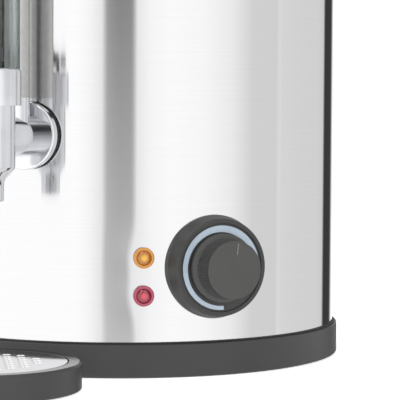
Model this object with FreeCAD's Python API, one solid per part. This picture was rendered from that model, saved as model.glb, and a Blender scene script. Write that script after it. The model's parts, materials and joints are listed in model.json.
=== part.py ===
import FreeCAD, Part
import math
import os

# Hot water urn: a double-walled stainless steel boiler for the counter, with a tap, a level glass,
# a drip tray, a thermostat knob and two pilot lamps. Units are millimetres and degrees.
# The origin is on the urn's axis, on the table. +Z is up, the tap faces -Y, and an azimuth is
# measured about +Z from the tap's direction towards +X.

# Clearances
SEAT_GAP = 0.05          # between curved faces of pieces that sit against each other
SLIDE_GAP = 0.3          # between pieces that move past each other
SHAFT_GAP = 0.06         # radial, between a shaft or pin and the hole that it turns in
TAP_DRILL_GAP = 0.03     # radial, between a screw and the hole that it is cut into
PASS_GAP = 0.4           # radial, between a screw, stem or shank and a hole that it only passes through

# Outer shell
BODY_RADIUS = 120.5
SHELL_WALL = 0.6

# Base ring, the dark moulding that the urn stands on
FOOT_PROUD = 0.5         # the rubber feet stand out this far under the ring and the tray
RING_PROUD = 2.5         # the ring is this much wider than the shell, in radius
RING_HEIGHT = 16.9
RING_LIP = 1.1           # thickness of the lip outside the shell's groove
GROOVE_DEPTH = 4.0
GUIDE_RISE = 6.6         # the inner guide stands this far above the groove's floor
GUIDE_WALL = 2.8
LAND_WIDTH = 11.0        # width of the ring's standing face
COVER_RECESS = 5.0       # from the standing face up to the flange that the cover screws to
FLANGE_THICKNESS = 3.0
FLANGE_REACH = 8.0
RING_EDGE = 0.9          # rounding of the ring's outer edges
SEAL_RISE = 0.9          # the gasket shows above the ring by this

# Rubber foot, cover and cover screws
FOOT_WIDTH = 6.0         # of the rubber ring that the urn stands on
FOOT_SEAT = 1.6          # depth of its groove
COVER_THICKNESS = 1.2
COVER_SCREWS = 6
COVER_SCREW_RADIUS = 1.6
COVER_SCREW_LENGTH = 8.0
BOSS_HEIGHT = 7.0
BOSS_WALL = 2.2
VENT_COUNT = 12
VENT_LENGTH = 22.0
VENT_WIDTH = 3.0
VENT_CIRCLE = 36.0

# Inner vessel
JACKET_GAP = 15.5        # from the shell's outside to the vessel's outside
VESSEL_WALL = 0.8
VESSEL_FLOOR = 100.0     # height of the vessel's underside
VESSEL_DEPTH = 272.0
VESSEL_CORNER = 8.0

# Rim collar
COLLAR_PROUD = 2.5
COLLAR_DROP = 10.0
COLLAR_RISE = 5.6
COLLAR_STEP = 2.0        # the collar's bore is this much wider than the vessel
COLLAR_EDGE = 1.6

# Lid
LID_WALL = 0.8
LID_MARGIN = 4.5         # from the edge of the collar to the edge of the lid's brim
LID_BEND = 30.0
LID_RISE = 15.0
LID_SHOULDER_RISE = 9.75
LID_SKIRT = 10.0
LID_GAP = 1.2            # radial, between the lid's skirt and the vessel
LID_SHOULDER = 20.0
LID_CROWN = 26.0         # radius of the flat that the lid's knob stands on
LID_KNOB_RADIUS = 19.0
LID_KNOB_HEIGHT = 27.0
LID_KNOB_NECK = 9.0
LID_KNOB_WASHER = 1.6
LID_SCREW_RADIUS = 2.5
LID_SCREW_LENGTH = 17.0
LID_VENT_RADIUS = 2.0
LID_VENT_PLACE = 70.0

# Side handles
HANDLE_HEIGHT = 318.0
HANDLE_REACH = 40.0      # outer face of the grip from the shell
HANDLE_GRIP = 12.5       # thickness of the grip
HANDLE_DEPTH = 20.0      # height of the handle's section
HANDLE_SPAN = 100.0
HANDLE_FOOT = 19.0
HANDLE_EDGE = 4.0
HANDLE_SCREW_RADIUS = 2.5
HANDLE_SCREW_LENGTH = 14.0
HANDLE_SCREW_HEAD = 4.5

# Control panel: thermostat, bezel, scale and knob
KNOB_AZIMUTH = 46.8
KNOB_HEIGHT = 56.7
BEZEL_RADIUS = 26.8      # at the shell
BEZEL_FRONT_RADIUS = 25.0
BEZEL_DEPTH = 9.0
BEZEL_RIM = 2.4
BEZEL_FACE_SET = 0.6
BEZEL_WALL = 2.4
BEZEL_EDGE = 1.3
BEZEL_HUB_WALL = 3.6
SCALE_RADIUS = 21.7
SCALE_DEPTH = 0.5
SCALE_START = 176.0      # clockwise from the top
SCALE_SWEEP = 270.0
SCALE_NARROW = 2.0
SCALE_WIDE = 4.0
KNOB_FLANGE_RADIUS = 17.7
KNOB_FLANGE = 2.4
KNOB_SHOULDER = 1.4
KNOB_GRIP_RADIUS = 15.9
KNOB_FACE_RADIUS = 14.8
KNOB_LENGTH = 15.4
KNOB_LIFT = 0.8          # gap between the bezel's face and the knob
KNOB_FLUTES = 72
FLUTE_ROOT = 15.1
KNOB_WALL = 2.6
KNOB_CAVITY = 11.0
POINTER_WIDTH = 0.5
POINTER_LENGTH = 5.6
POINTER_DEPTH = 0.4
POINTER_TURN = 7.0       # clockwise from the top
SPINDLE_RADIUS = 3.0
SPINDLE_ENTRY = 6.0
SPINDLE_IN_KNOB = 11.0
THERMOSTAT_HALF_WIDTH = 17.0
THERMOSTAT_PLATE = 1.5
THERMOSTAT_BODY_HALF_WIDTH = 11.5
THERMOSTAT_HALF_HEIGHT = 16.0
THERMOSTAT_DEPTH = 30.0
THERMOSTAT_SCREW_PITCH = 28.0
THERMOSTAT_SCREW_RADIUS = 1.7
THERMOSTAT_HEAD_RADIUS = 3.1
THERMOSTAT_HEAD = 2.1

# Pilot lamps
LAMP_AZIMUTH = 28.8
AMBER_HEIGHT = 61.8
RED_HEIGHT = 42.3
LAMP_RADIUS = 5.4
LAMP_PROUD = 2.7
LAMP_BODY_RADIUS = 4.2
LAMP_BODY_LENGTH = 24.0
LAMP_TAB = 7.0
LAMP_TAB_PLACE = 2.0
LAMP_TAB_WIDTH = 3.2
LAMP_TAB_THICKNESS = 0.8
LAMP_CLIP_RADIUS = 7.5
LAMP_CLIP_THICKNESS = 0.8
LAMP_STEP_RADIUS = 3.9
LAMP_STEP = 0.7

# Tap
TAP_ABOVE_FLOOR = 24.0   # the tap's bore, above the vessel's underside
TAP_REACH = 46.5         # from the shell to the barrel's axis
SHANK_RADIUS = 10.8
TAP_BORE = 6.0
SHANK_INSIDE = 12.0      # the shank reaches this far into the vessel
TAP_NUT_HEIGHT = 6.0
TAP_NUT_FLATS = 29.0
TAP_SEAL_RADIUS = 16.5
TAP_SEAL_THICKNESS = 2.4
TAP_FLANGE = 4.0
TAP_FLANGE_RADIUS = 17.5
NECK_RADIUS = 11.0
BARREL_RADIUS = 14.5
BARREL_ABOVE = 23.0      # the barrel's top, above the bore's axis
BARREL_BELOW = 16.0
SPOUT_DROP = 32.0        # the outlet, below the bore's axis
SPOUT_RADIUS = 9.0
SEAT_BELOW = 7.0         # the valve seat, below the bore's axis
CHAMBER_RADIUS = 10.6
CUP_RADIUS = 8.5
CUP_HEIGHT = 8.0
STEM_RADIUS = 2.5
STEM_HEAD_RADIUS = 3.8
STEM_HEAD = 2.6
STEM_COLLAR = 1.5
STEM_IN_CUP = 5.0
BONNET_RADIUS = 17.5
BONNET_HEIGHT = 10.0
BONNET_SKIRT = 8.0
BONNET_BORE = 7.6
BONNET_ROOF = 4.0
SPRING_WIRE_RADIUS = 0.6
SPRING_RADIUS = 5.0
SPRING_TURNS = 5
PIVOT_REACH = 13.0       # the lever's pin, in front of the stem
PIVOT_RISE = 7.0         # the lever's pin, above the bonnet
EAR_RADIUS = 4.5
EAR_THICKNESS = 3.0
LEVER_THICKNESS = 7.0
LEVER_WIDTH = 7.6
LEVER_FORK_WIDTH = 14.0
LEVER_SLOT_RUN = 1.2      # the fork's slot ends this far beyond the stem, for the lever's tilt
LEVER_FORK_REACH = 18.0
LEVER_SHOULDER = 7.2
LEVER_LENGTH = 46.0
LEVER_PADDLE_WIDTH = 19.0
LEVER_PIN_RADIUS = 1.5

# Level glass
GAUGE_REACH = 18.5
GLASS_RADIUS = 5.0
GLASS_WALL = 1.0
GAUGE_SEAL_WALL = 1.6
GAUGE_SOCKET_WALL = 2.4
GAUGE_SOCKET_DEPTH = 8.0
GAUGE_SOCKET_TOP = 19.0  # above the tap's axis
GAUGE_BELOW_RIM = 27.0   # the upper socket, below the vessel's rim
GAUGE_BRACKET_HEIGHT = 15.0
GAUGE_ARM_WIDTH = 11.0
GAUGE_BOLT_RADIUS = 2.5
GAUGE_BOLT_HEAD = 4.5
GAUGE_BOLT_LENGTH = 12.0
GAUGE_CAP_HEIGHT = 5.0
GUARD_WALL = 0.8
GUARD_END = 8.0
GUARD_OPENING = 110.0    # degrees of the guard that are open, at the front

# Drip tray
TRAY_RADIUS = 50.0
TRAY_HEIGHT = 13.5
TRAY_CHAMFER = 1.2
TRAY_FLOOR = 1.6
TRAY_SHELL = 2.0         # wall of the hollow under the rim
PLATE_RADIUS = 43.5
PLATE_THICKNESS = 1.0
PLATE_SET = 0.1          # the plate lies this far below the rim
PLATE_HOLE_RADIUS = 2.4
PLATE_HOLE_PITCH = 8.0
PLATE_HOLES_WITHIN = 30.0
TONGUE_WIDTH = 30.0
TONGUE_REACH = 9.0       # how far the tongue reaches into the base ring
TONGUE_THICKNESS = 2.2
TONGUE_ABOVE_FOOT = 0.9
TRAY_PAD_RADIUS = 4.0
TRAY_PAD_CIRCLE = 34.0
TRAY_PAD_SEAT = 0.6
TRAY_LEDGE = 2.5          # width of the ledge that the plate lies on

# Heater and what hangs under the vessel
HEATER_RADIUS = 68.0
HEATER_THICKNESS = 6.0
ELEMENT_CIRCLE = 50.0
ELEMENT_RADIUS = 4.2
ELEMENT_GAP = 40.0       # degrees between the element's two ends
ELEMENT_LEG = 12.0
ELEMENT_PIN = 9.0
ELEMENT_PIN_RADIUS = 1.8
CUTOUT_RADIUS = 8.5
CUTOUT_HEIGHT = 8.0
CUTOUT_EAR = 13.5
CUTOUT_SCREW_RADIUS = 1.5
BULB_RADIUS = 3.0
BULB_LENGTH = 56.0
BULB_PLACE = 77.0
SADDLE_WALL = 1.6
SADDLE_WIDTH = 8.0
SADDLE_PITCH = 34.0
CAPILLARY_RADIUS = 0.9
ROD_COUNT = 3
ROD_CIRCLE = 88.0
ROD_RADIUS = 3.0
ROD_FOOT = 6.5
ROD_AZIMUTH = 100.0
NUT_HEIGHT = 2.6

# Mains entry at the back
GLAND_HEIGHT = 44.0
GLAND_BORE = 3.8
GLAND_THREAD_RADIUS = 8.0
GLAND_FLANGE = 4.0
GLAND_FLATS = 22.0
GLAND_DOME = 12.0
GLAND_INSIDE = 12.0
GLAND_NUT_HEIGHT = 4.0
BLOCK_LENGTH = 44.0
BLOCK_DEPTH = 20.0
BLOCK_HEIGHT = 16.0
BLOCK_PLACE = 62.0
BLOCK_WAYS = 3
BLOCK_SCREW_RADIUS = 1.5
TERMINAL_RADIUS = 2.0
TERMINAL_PITCH = 9.6
TERMINAL_ROW = 5.6        # from the block's middle line to each row of screws
LEAD_RADIUS = 1.2
LEAD_BEND = 4.0

# Heights and radii that follow from the sizes above
shell_inner = BODY_RADIUS - SHELL_WALL
ring_radius = BODY_RADIUS + RING_PROUD
ring_top = FOOT_PROUD + RING_HEIGHT
groove_floor = ring_top - GROOVE_DEPTH
groove_radius = ring_radius - RING_LIP
guide_radius = shell_inner - SLIDE_GAP
guide_inner = guide_radius - GUIDE_WALL
land_inner = ring_radius - LAND_WIDTH
flange_bottom = FOOT_PROUD + COVER_RECESS
flange_top = flange_bottom + FLANGE_THICKNESS
flange_inner = land_inner - FLANGE_REACH
cover_bottom = flange_bottom - COVER_THICKNESS
vessel_radius = BODY_RADIUS - JACKET_GAP
vessel_top = VESSEL_FLOOR + VESSEL_DEPTH
vessel_inner = vessel_radius - VESSEL_WALL
collar_seat = vessel_top + VESSEL_WALL
collar_top = collar_seat + COLLAR_RISE
collar_bore = vessel_radius + COLLAR_STEP
lid_brim = BODY_RADIUS + COLLAR_PROUD - LID_MARGIN
lid_crown = collar_top + LID_RISE
lid_shoulder = collar_top + LID_SHOULDER_RISE
bezel_front = BODY_RADIUS + BEZEL_DEPTH
bezel_face = bezel_front - BEZEL_FACE_SET
knob_back = bezel_face + KNOB_LIFT
knob_front = knob_back + KNOB_LENGTH
thermostat_front = math.sqrt(shell_inner**2 - THERMOSTAT_HALF_WIDTH**2) - SLIDE_GAP
thermostat_back = thermostat_front - THERMOSTAT_PLATE
tap_height = VESSEL_FLOOR + TAP_ABOVE_FLOOR
tap_axis = BODY_RADIUS + TAP_REACH
tap_flange_back = BODY_RADIUS + TAP_SEAL_THICKNESS
tap_flange_front = tap_flange_back + TAP_FLANGE
tap_inner_face = vessel_inner - TAP_SEAL_THICKNESS - 1.0
barrel_top = tap_height + BARREL_ABOVE
seat_height = tap_height - SEAT_BELOW
spout_end = tap_height - SPOUT_DROP
bonnet_top = barrel_top + BONNET_HEIGHT
pivot_height = bonnet_top + PIVOT_RISE
pivot_place = tap_axis + PIVOT_REACH
lever_top = pivot_height + LEVER_THICKNESS / 2
stem_top = lever_top + SLIDE_GAP + STEM_HEAD
gauge_axis = BODY_RADIUS + GAUGE_REACH
gauge_bottom = tap_height + GAUGE_SOCKET_TOP
gauge_top = vessel_top - GAUGE_BELOW_RIM
seal_radius = GLASS_RADIUS + GAUGE_SEAL_WALL
socket_radius = seal_radius + GAUGE_SOCKET_WALL
tray_axis = ring_radius + SLIDE_GAP + TRAY_RADIUS
tray_top = FOOT_PROUD + TRAY_HEIGHT
plate_top = tray_top - PLATE_SET
plate_seat = plate_top - PLATE_THICKNESS
heater_bottom = VESSEL_FLOOR - HEATER_THICKNESS

V = FreeCAD.Vector
ORIGIN = V(0, 0, 0)
UP = V(0, 0, 1)


def wire(points, place):
    """A closed outline through (a, b) or (a, b, rounding) corners, each put in space by place(a, b)."""
    def corner(i):
        here = V(points[i][0], points[i][1], 0)
        radius = points[i][2] if len(points[i]) > 2 else 0
        if not radius:
            return here, here, here
        before = V(*points[i - 1][:2], 0) - here
        after = V(*points[(i + 1) % len(points)][:2], 0) - here
        before.normalize()
        after.normalize()
        half = before.getAngle(after) / 2
        bisector = before + after
        bisector.normalize()
        cut = radius / math.tan(half)
        middle = here + bisector * (radius / math.sin(half) - radius)
        return here + before * cut, middle, here + after * cut

    corners = [corner(i) for i in range(len(points))]
    edges = []
    for i, (start, middle, end) in enumerate(corners):
        following = corners[(i + 1) % len(corners)][0]
        if start != end:
            edges.append(Part.Arc(*(place(p.x, p.y) for p in (start, middle, end))).toShape())
        if (following - end).Length > 1e-6:
            edges.append(Part.makeLine(place(end.x, end.y), place(following.x, following.y)))
    return Part.Wire(edges)


def turned(points):
    """A solid turned about Z from an outline of (radius, height) corners."""
    outline = wire(points, lambda a, b: V(a, 0, b))
    return Part.Face(outline).revolve(ORIGIN, UP, 360)


def plate(points, low, high):
    """A flat solid with an outline of (x, y) corners, from one height to another."""
    outline = wire(points, lambda a, b: V(a, b, low))
    return Part.Face(outline).extrude(V(0, 0, high - low))


def rod(radius, low, high, x=0.0, y=0.0):
    return Part.makeCylinder(radius, high - low, V(x, y, low))


def tube(outer, inner, low, high, x=0.0, y=0.0):
    return rod(outer, low, high, x, y).cut(rod(inner, low, high, x, y))


def block(x0, x1, y0, y1, z0, z1):
    return Part.makeBox(x1 - x0, y1 - y0, z1 - z0, V(x0, y0, z0))


def hexagon(flats, low, high):
    corner = flats / math.sqrt(3)
    angles = [math.radians(60 * i) for i in range(6)]
    return plate([(corner * math.cos(a), corner * math.sin(a)) for a in angles], low, high)


def joined(shapes):
    result = shapes[0]
    for shape in shapes[1:]:
        result = result.fuse(shape)
    return result.removeSplitter()


def outward(shape, height, azimuth):
    """Puts a shape that is modelled with Z as the distance from the urn's axis, Y up and X to the
    right, at a height and azimuth."""
    shape = shape.copy()
    shape.rotate(ORIGIN, V(1, 0, 0), 90)
    shape.translate(V(0, 0, height))
    shape.rotate(ORIGIN, UP, azimuth)
    return shape


def around(shape, count, first=0.0):
    """Copies of a shape, evenly spaced about Z."""
    copies = []
    for i in range(count):
        copy = shape.copy()
        copy.rotate(ORIGIN, UP, first + 360.0 * i / count)
        copies.append(copy)
    return copies


def side_cylinder(radius):
    """The urn's own cylinder in the frame that outward() takes, where its axis is Y."""
    reach = 4 * BODY_RADIUS
    return Part.makeCylinder(radius, reach, V(0, -reach / 2, 0), V(0, 1, 0))


def screw(radius, length, head_radius, head_height):
    """A pan-head screw along Z, with its head's seat at 0 and its shank below."""
    head = turned([(0, 0), (head_radius, 0), (head_radius, head_height, head_height / 2), (0, head_height)])
    return joined([head, rod(radius, -length, 0)])


def moved(shape, x=0.0, y=0.0, z=0.0):
    shape = shape.copy()
    shape.translate(V(x, y, z))
    return shape


def turned_over(shape):
    shape = shape.copy()
    shape.rotate(ORIGIN, V(1, 0, 0), 180)
    return shape


# Base

cover_screw_circle = (flange_inner + land_inner) / 2
foot_outer = ring_radius - (LAND_WIDTH - FOOT_WIDTH) / 2
foot_inner = foot_outer - FOOT_WIDTH
foot_top = FOOT_PROUD + FOOT_SEAT
tongue_bottom = foot_top + TONGUE_ABOVE_FOOT


def base_ring():
    ring = turned([
        (land_inner, FOOT_PROUD),
        (ring_radius, FOOT_PROUD, RING_EDGE),
        (ring_radius, ring_top, RING_EDGE / 2),
        (groove_radius, ring_top),
        (groove_radius, groove_floor),
        (guide_radius, groove_floor),
        (guide_radius, groove_floor + GUIDE_RISE, GUIDE_WALL / 3),
        (guide_inner, groove_floor + GUIDE_RISE),
        (guide_inner, flange_top),
        (flange_inner, flange_top),
        (flange_inner, flange_bottom),
        (land_inner, flange_bottom),
    ])
    boss = rod(COVER_SCREW_RADIUS + BOSS_WALL, flange_bottom, flange_top + BOSS_HEIGHT, 0, -cover_screw_circle)
    ring = joined([ring] + around(boss, COVER_SCREWS, 30))
    pilot = rod(COVER_SCREW_RADIUS + TAP_DRILL_GAP, 0, cover_bottom + COVER_SCREW_LENGTH + 1,
                0, -cover_screw_circle)
    foot_groove = tube(foot_outer + SEAT_GAP, foot_inner - SEAT_GAP, 0, foot_top)
    ring = ring.cut(around(pilot, COVER_SCREWS, 30) + [foot_groove])
    half_slot = TONGUE_WIDTH / 2 + SLIDE_GAP
    slot_top = tongue_bottom + TONGUE_THICKNESS + SLIDE_GAP
    slot_end = ring_radius - TONGUE_REACH - SLIDE_GAP
    slot = block(-half_slot, half_slot, -ring_radius - 1, -slot_end, tongue_bottom - SLIDE_GAP, slot_top)
    return ring.cut(slot)


def foot_ring():
    return tube(foot_outer, foot_inner, 0, foot_top)


def shell_gasket():
    return tube(groove_radius - SEAT_GAP, BODY_RADIUS + SEAT_GAP, groove_floor, ring_top + SEAL_RISE)


def vent_slot(place):
    half = VENT_WIDTH / 2
    ends = [(-half, -place, half * 0.98), (half, -place, half * 0.98),
            (half, -place - VENT_LENGTH, half * 0.98), (-half, -place - VENT_LENGTH, half * 0.98)]
    return plate(ends, 0, flange_bottom + 1)


def base_cover():
    cover = rod(land_inner - SLIDE_GAP, cover_bottom, flange_bottom)
    cuts = around(rod(COVER_SCREW_RADIUS + PASS_GAP, 0, flange_bottom + 1, 0, -cover_screw_circle),
                  COVER_SCREWS, 30)
    cuts += around(rod(ROD_RADIUS + PASS_GAP, 0, flange_bottom + 1, 0, -ROD_CIRCLE), ROD_COUNT, ROD_AZIMUTH)
    cuts += around(vent_slot(VENT_CIRCLE - VENT_LENGTH / 2), VENT_COUNT, 15)
    cuts += [rod(BLOCK_SCREW_RADIUS + TAP_DRILL_GAP, 0, flange_bottom + 1, x, y) for x, y in block_screw_places]
    return cover.cut(cuts)


def cover_screws():
    one = turned_over(screw(COVER_SCREW_RADIUS, COVER_SCREW_LENGTH, 3.0, 1.8))
    return around(moved(one, 0, -cover_screw_circle, cover_bottom), COVER_SCREWS, 30)


def clamp_rods():
    """Studs on the vessel's underside. They pull the vessel, shell, base ring and cover together."""
    one = joined([
        rod(ROD_RADIUS, FOOT_PROUD + 0.5, VESSEL_FLOOR, 0, -ROD_CIRCLE),
        rod(ROD_FOOT, VESSEL_FLOOR - 1.5, VESSEL_FLOOR, 0, -ROD_CIRCLE),
    ])
    return around(one, ROD_COUNT, ROD_AZIMUTH)


def rod_nuts():
    one = hexagon(ROD_RADIUS * 3.3, cover_bottom - NUT_HEIGHT, cover_bottom)
    one = one.cut(rod(ROD_RADIUS + TAP_DRILL_GAP, 0, cover_bottom))
    return around(moved(one, 0, -ROD_CIRCLE), ROD_COUNT, ROD_AZIMUTH)


# Body

handle_screw_offset = math.degrees(math.asin((HANDLE_SPAN / 2 - HANDLE_FOOT / 2) / BODY_RADIUS))
handle_screw_azimuths = [side * 90 + way * handle_screw_offset for side in (-1, 1) for way in (-1, 1)]
gauge_bolt_height = gauge_top + GAUGE_BRACKET_HEIGHT / 2
thermostat_screw_places = (-THERMOSTAT_SCREW_PITCH / 2, THERMOSTAT_SCREW_PITCH / 2)


def outer_shell():
    shell = tube(BODY_RADIUS, shell_inner, groove_floor, vessel_top)
    low, high = vessel_radius + 1, BODY_RADIUS + 5
    holes = [
        outward(rod(SHANK_RADIUS + PASS_GAP, low, high), tap_height, 0),
        outward(rod(SPINDLE_RADIUS + 2, low, high), KNOB_HEIGHT, KNOB_AZIMUTH),
        outward(rod(GLAND_THREAD_RADIUS + PASS_GAP, low, high), GLAND_HEIGHT, 180),
        outward(rod(GAUGE_BOLT_RADIUS + PASS_GAP, low, high), gauge_bolt_height, 0),
    ]
    holes += [outward(rod(THERMOSTAT_SCREW_RADIUS + PASS_GAP, low, high, x), KNOB_HEIGHT, KNOB_AZIMUTH)
              for x in thermostat_screw_places]
    holes += [outward(rod(LAMP_BODY_RADIUS + PASS_GAP, low, high), z, LAMP_AZIMUTH)
              for z in (AMBER_HEIGHT, RED_HEIGHT)]
    holes += [outward(rod(HANDLE_SCREW_RADIUS + PASS_GAP, low, high), HANDLE_HEIGHT, azimuth)
              for azimuth in handle_screw_azimuths]
    return shell.cut(holes)


def inner_vessel():
    floor_top = VESSEL_FLOOR + VESSEL_WALL
    vessel = turned([
        (0, VESSEL_FLOOR),
        (vessel_radius, VESSEL_FLOOR, VESSEL_CORNER),
        (vessel_radius, vessel_top),
        (BODY_RADIUS, vessel_top),
        (BODY_RADIUS, collar_seat),
        (vessel_inner, collar_seat, VESSEL_WALL),
        (vessel_inner, floor_top, VESSEL_CORNER - VESSEL_WALL),
        (0, floor_top),
    ])
    hole = rod(SHANK_RADIUS + PASS_GAP, vessel_inner - 10, vessel_radius + 5)
    return vessel.cut(outward(hole, tap_height, 0))


def rim_collar():
    outer = BODY_RADIUS + COLLAR_PROUD
    return turned([
        (collar_bore, collar_seat),
        (collar_bore, collar_top, COLLAR_EDGE),
        (outer, collar_top, COLLAR_EDGE),
        (outer, collar_seat - COLLAR_DROP, COLLAR_EDGE / 2),
        (BODY_RADIUS + SEAT_GAP, collar_seat - COLLAR_DROP),
        (BODY_RADIUS + SEAT_GAP, collar_seat),
    ])


# Lid

lid_skirt_radius = vessel_inner - LID_GAP


def lid():
    """A pressed steel lid: flat brim, rounded shoulder, low dome, and a skirt that locates it."""
    dome = turned([
        (0, lid_crown - LID_WALL),
        (LID_CROWN, lid_crown - LID_WALL, LID_BEND),
        (lid_skirt_radius - LID_SHOULDER, lid_shoulder - LID_WALL, LID_BEND),
        (lid_skirt_radius, collar_top, 2.0),
        (lid_brim, collar_top),
        (lid_brim, collar_top + LID_WALL),
        (lid_skirt_radius + 0.3, collar_top + LID_WALL, 2.8),
        (lid_skirt_radius - LID_SHOULDER, lid_shoulder, LID_BEND + LID_WALL),
        (LID_CROWN, lid_crown, LID_BEND + LID_WALL),
        (0, lid_crown),
    ])
    skirt = tube(lid_skirt_radius, lid_skirt_radius - LID_WALL, collar_top - LID_SKIRT,
                 collar_top + LID_WALL / 2)
    curl = turned([
        (lid_brim - 1.2, collar_top),
        (lid_brim + 1.2, collar_top, 1.0),
        (lid_brim + 1.2, collar_top + 2.4, 1.1),
        (lid_brim - 1.2, collar_top + 2.4, 1.1),
    ])
    body = joined([dome, skirt, curl])
    screw_hole = rod(LID_SCREW_RADIUS + PASS_GAP, collar_top, lid_crown + 5)
    vent = rod(LID_VENT_RADIUS, collar_top, lid_crown + 5, 0, LID_VENT_PLACE)
    return body.cut([screw_hole, vent])


def lid_knob():
    low = lid_crown + LID_KNOB_WASHER
    high = low + LID_KNOB_HEIGHT
    knob = turned([
        (0, low),
        (LID_KNOB_NECK + 3, low, 1.0),
        (LID_KNOB_NECK, low + LID_KNOB_HEIGHT * 0.4, 8.0),
        (LID_KNOB_RADIUS, low + LID_KNOB_HEIGHT * 0.6, 3.0),
        (LID_KNOB_RADIUS, high, 6.0),
        (0, high),
    ])
    reach = LID_SCREW_LENGTH - LID_WALL - LID_KNOB_WASHER
    return knob.cut(rod(LID_SCREW_RADIUS + TAP_DRILL_GAP, low, low + reach + 1))


def lid_knob_washer():
    return tube(LID_KNOB_NECK + 4.5, LID_SCREW_RADIUS + PASS_GAP, lid_crown, lid_crown + LID_KNOB_WASHER)


def lid_knob_screw():
    return moved(turned_over(screw(LID_SCREW_RADIUS, LID_SCREW_LENGTH, 5.0, 3.2)), 0, 0, lid_crown - LID_WALL)


# Side handles

def inside_seat(radius):
    """How far out a flat face of this radius can lie against the inside of the shell."""
    return math.sqrt(shell_inner**2 - radius**2) - SEAT_GAP


def handle(azimuth):
    """A bow handle: a moulded grip on two feet that fit the shell."""
    half = HANDLE_SPAN / 2
    outer = BODY_RADIUS + HANDLE_REACH
    inner = outer - HANDLE_GRIP
    root = math.sqrt(BODY_RADIUS**2 - half**2) - HANDLE_EDGE
    points = [
        (-half, root), (-half, outer, 30), (half, outer, 30), (half, root),
        (half - HANDLE_FOOT, root), (half - HANDLE_FOOT, inner, 12),
        (HANDLE_FOOT - half, inner, 12), (HANDLE_FOOT - half, root),
    ]
    outline = wire(points, lambda a, b: V(a, -HANDLE_DEPTH / 2, b))
    bow = Part.Face(outline).extrude(V(0, HANDLE_DEPTH, 0))
    rims = [e for e in bow.Edges
            if abs(abs(e.CenterOfMass.y) - HANDLE_DEPTH / 2) < 0.01 and e.CenterOfMass.z > root + 0.1]
    bow = bow.makeFillet(HANDLE_EDGE, rims).cut(side_cylinder(BODY_RADIUS + SEAT_GAP))
    bow = outward(bow, HANDLE_HEIGHT, azimuth)
    pilot = rod(HANDLE_SCREW_RADIUS + TAP_DRILL_GAP, shell_inner - 5,
                inside_seat(HANDLE_SCREW_HEAD) + HANDLE_SCREW_LENGTH + 1)
    return bow.cut([outward(pilot, HANDLE_HEIGHT, way) for way in handle_screw_azimuths])


def handle_screws():
    one = moved(turned_over(screw(HANDLE_SCREW_RADIUS, HANDLE_SCREW_LENGTH, HANDLE_SCREW_HEAD, 2.8)),
                z=inside_seat(HANDLE_SCREW_HEAD))
    return [outward(one, HANDLE_HEIGHT, azimuth) for azimuth in handle_screw_azimuths]


# Thermostat, bezel, scale and knob, modelled as outward() takes them

bezel_screw_seat = bezel_face - THERMOSTAT_HEAD - 0.4
thermostat_screw_reach = bezel_screw_seat - thermostat_back


def control(shape):
    return outward(shape, KNOB_HEIGHT, KNOB_AZIMUTH)


def clock(radius, degrees, z):
    """A point on the dial, by its clockwise angle from the top."""
    a = math.radians(degrees)
    return V(radius * math.sin(a), radius * math.cos(a), z)


def scale_band(grow, low, high):
    """The printed crescent round the knob, whose width grows along its sweep."""
    outer = SCALE_RADIUS + grow
    start = SCALE_START - math.degrees(grow / SCALE_RADIUS)
    end = SCALE_START + SCALE_SWEEP + math.degrees(grow / SCALE_RADIUS)
    steps = 18
    inner = [clock(SCALE_RADIUS - grow - SCALE_NARROW - (SCALE_WIDE - SCALE_NARROW) * i / steps,
                   start + (end - start) * i / steps, low) for i in range(steps + 1)]
    spiral = Part.BSplineCurve()
    spiral.interpolate(inner)
    arc = Part.Arc(clock(outer, start, low), clock(outer, (start + end) / 2, low), clock(outer, end, low))
    outline = Part.Wire([
        arc.toShape(),
        Part.makeLine(clock(outer, end, low), inner[-1]),
        spiral.toShape(),
        Part.makeLine(inner[0], clock(outer, start, low)),
    ])
    return Part.Face(outline).extrude(V(0, 0, high - low))


def control_bezel():
    """A hollow round moulding whose back fits the shell."""
    back = shell_inner - BEZEL_RADIUS**2 / BODY_RADIUS
    shell = turned([
        (0, back), (BEZEL_RADIUS, back),
        (BEZEL_RADIUS, BODY_RADIUS + 1), (BEZEL_FRONT_RADIUS, bezel_front, BEZEL_EDGE),
        (BEZEL_FRONT_RADIUS - BEZEL_RIM, bezel_front, BEZEL_FACE_SET / 2),
        (BEZEL_FRONT_RADIUS - BEZEL_RIM, bezel_face), (0, bezel_face),
    ])
    hub_radius = SPINDLE_RADIUS + PASS_GAP + BEZEL_HUB_WALL
    cavity = tube(BEZEL_FRONT_RADIUS - BEZEL_WALL, hub_radius, back - 1, bezel_face - BEZEL_WALL)
    bosses = [rod(THERMOSTAT_HEAD_RADIUS + 1.5, back, bezel_face - 0.5, x) for x in thermostat_screw_places]
    shell = joined([shell.cut(cavity)] + bosses)
    cuts = [side_cylinder(BODY_RADIUS + SEAT_GAP), rod(SPINDLE_RADIUS + PASS_GAP, back - 1, bezel_front)]
    cuts += [rod(THERMOSTAT_SCREW_RADIUS + PASS_GAP, back - 1, bezel_front, x) for x in thermostat_screw_places]
    cuts += [rod(THERMOSTAT_HEAD_RADIUS + PASS_GAP, bezel_screw_seat, bezel_front, x)
             for x in thermostat_screw_places]
    cuts.append(scale_band(SEAT_GAP, bezel_face - SCALE_DEPTH, bezel_front))
    return control(shell.cut(cuts))


def scale_inlay():
    return control(scale_band(0, bezel_face - SCALE_DEPTH, bezel_face))


def thermostat_screws():
    one = moved(screw(THERMOSTAT_SCREW_RADIUS, thermostat_screw_reach, THERMOSTAT_HEAD_RADIUS,
                      THERMOSTAT_HEAD), z=bezel_screw_seat)
    return [control(moved(one, x=x)) for x in thermostat_screw_places]


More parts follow.
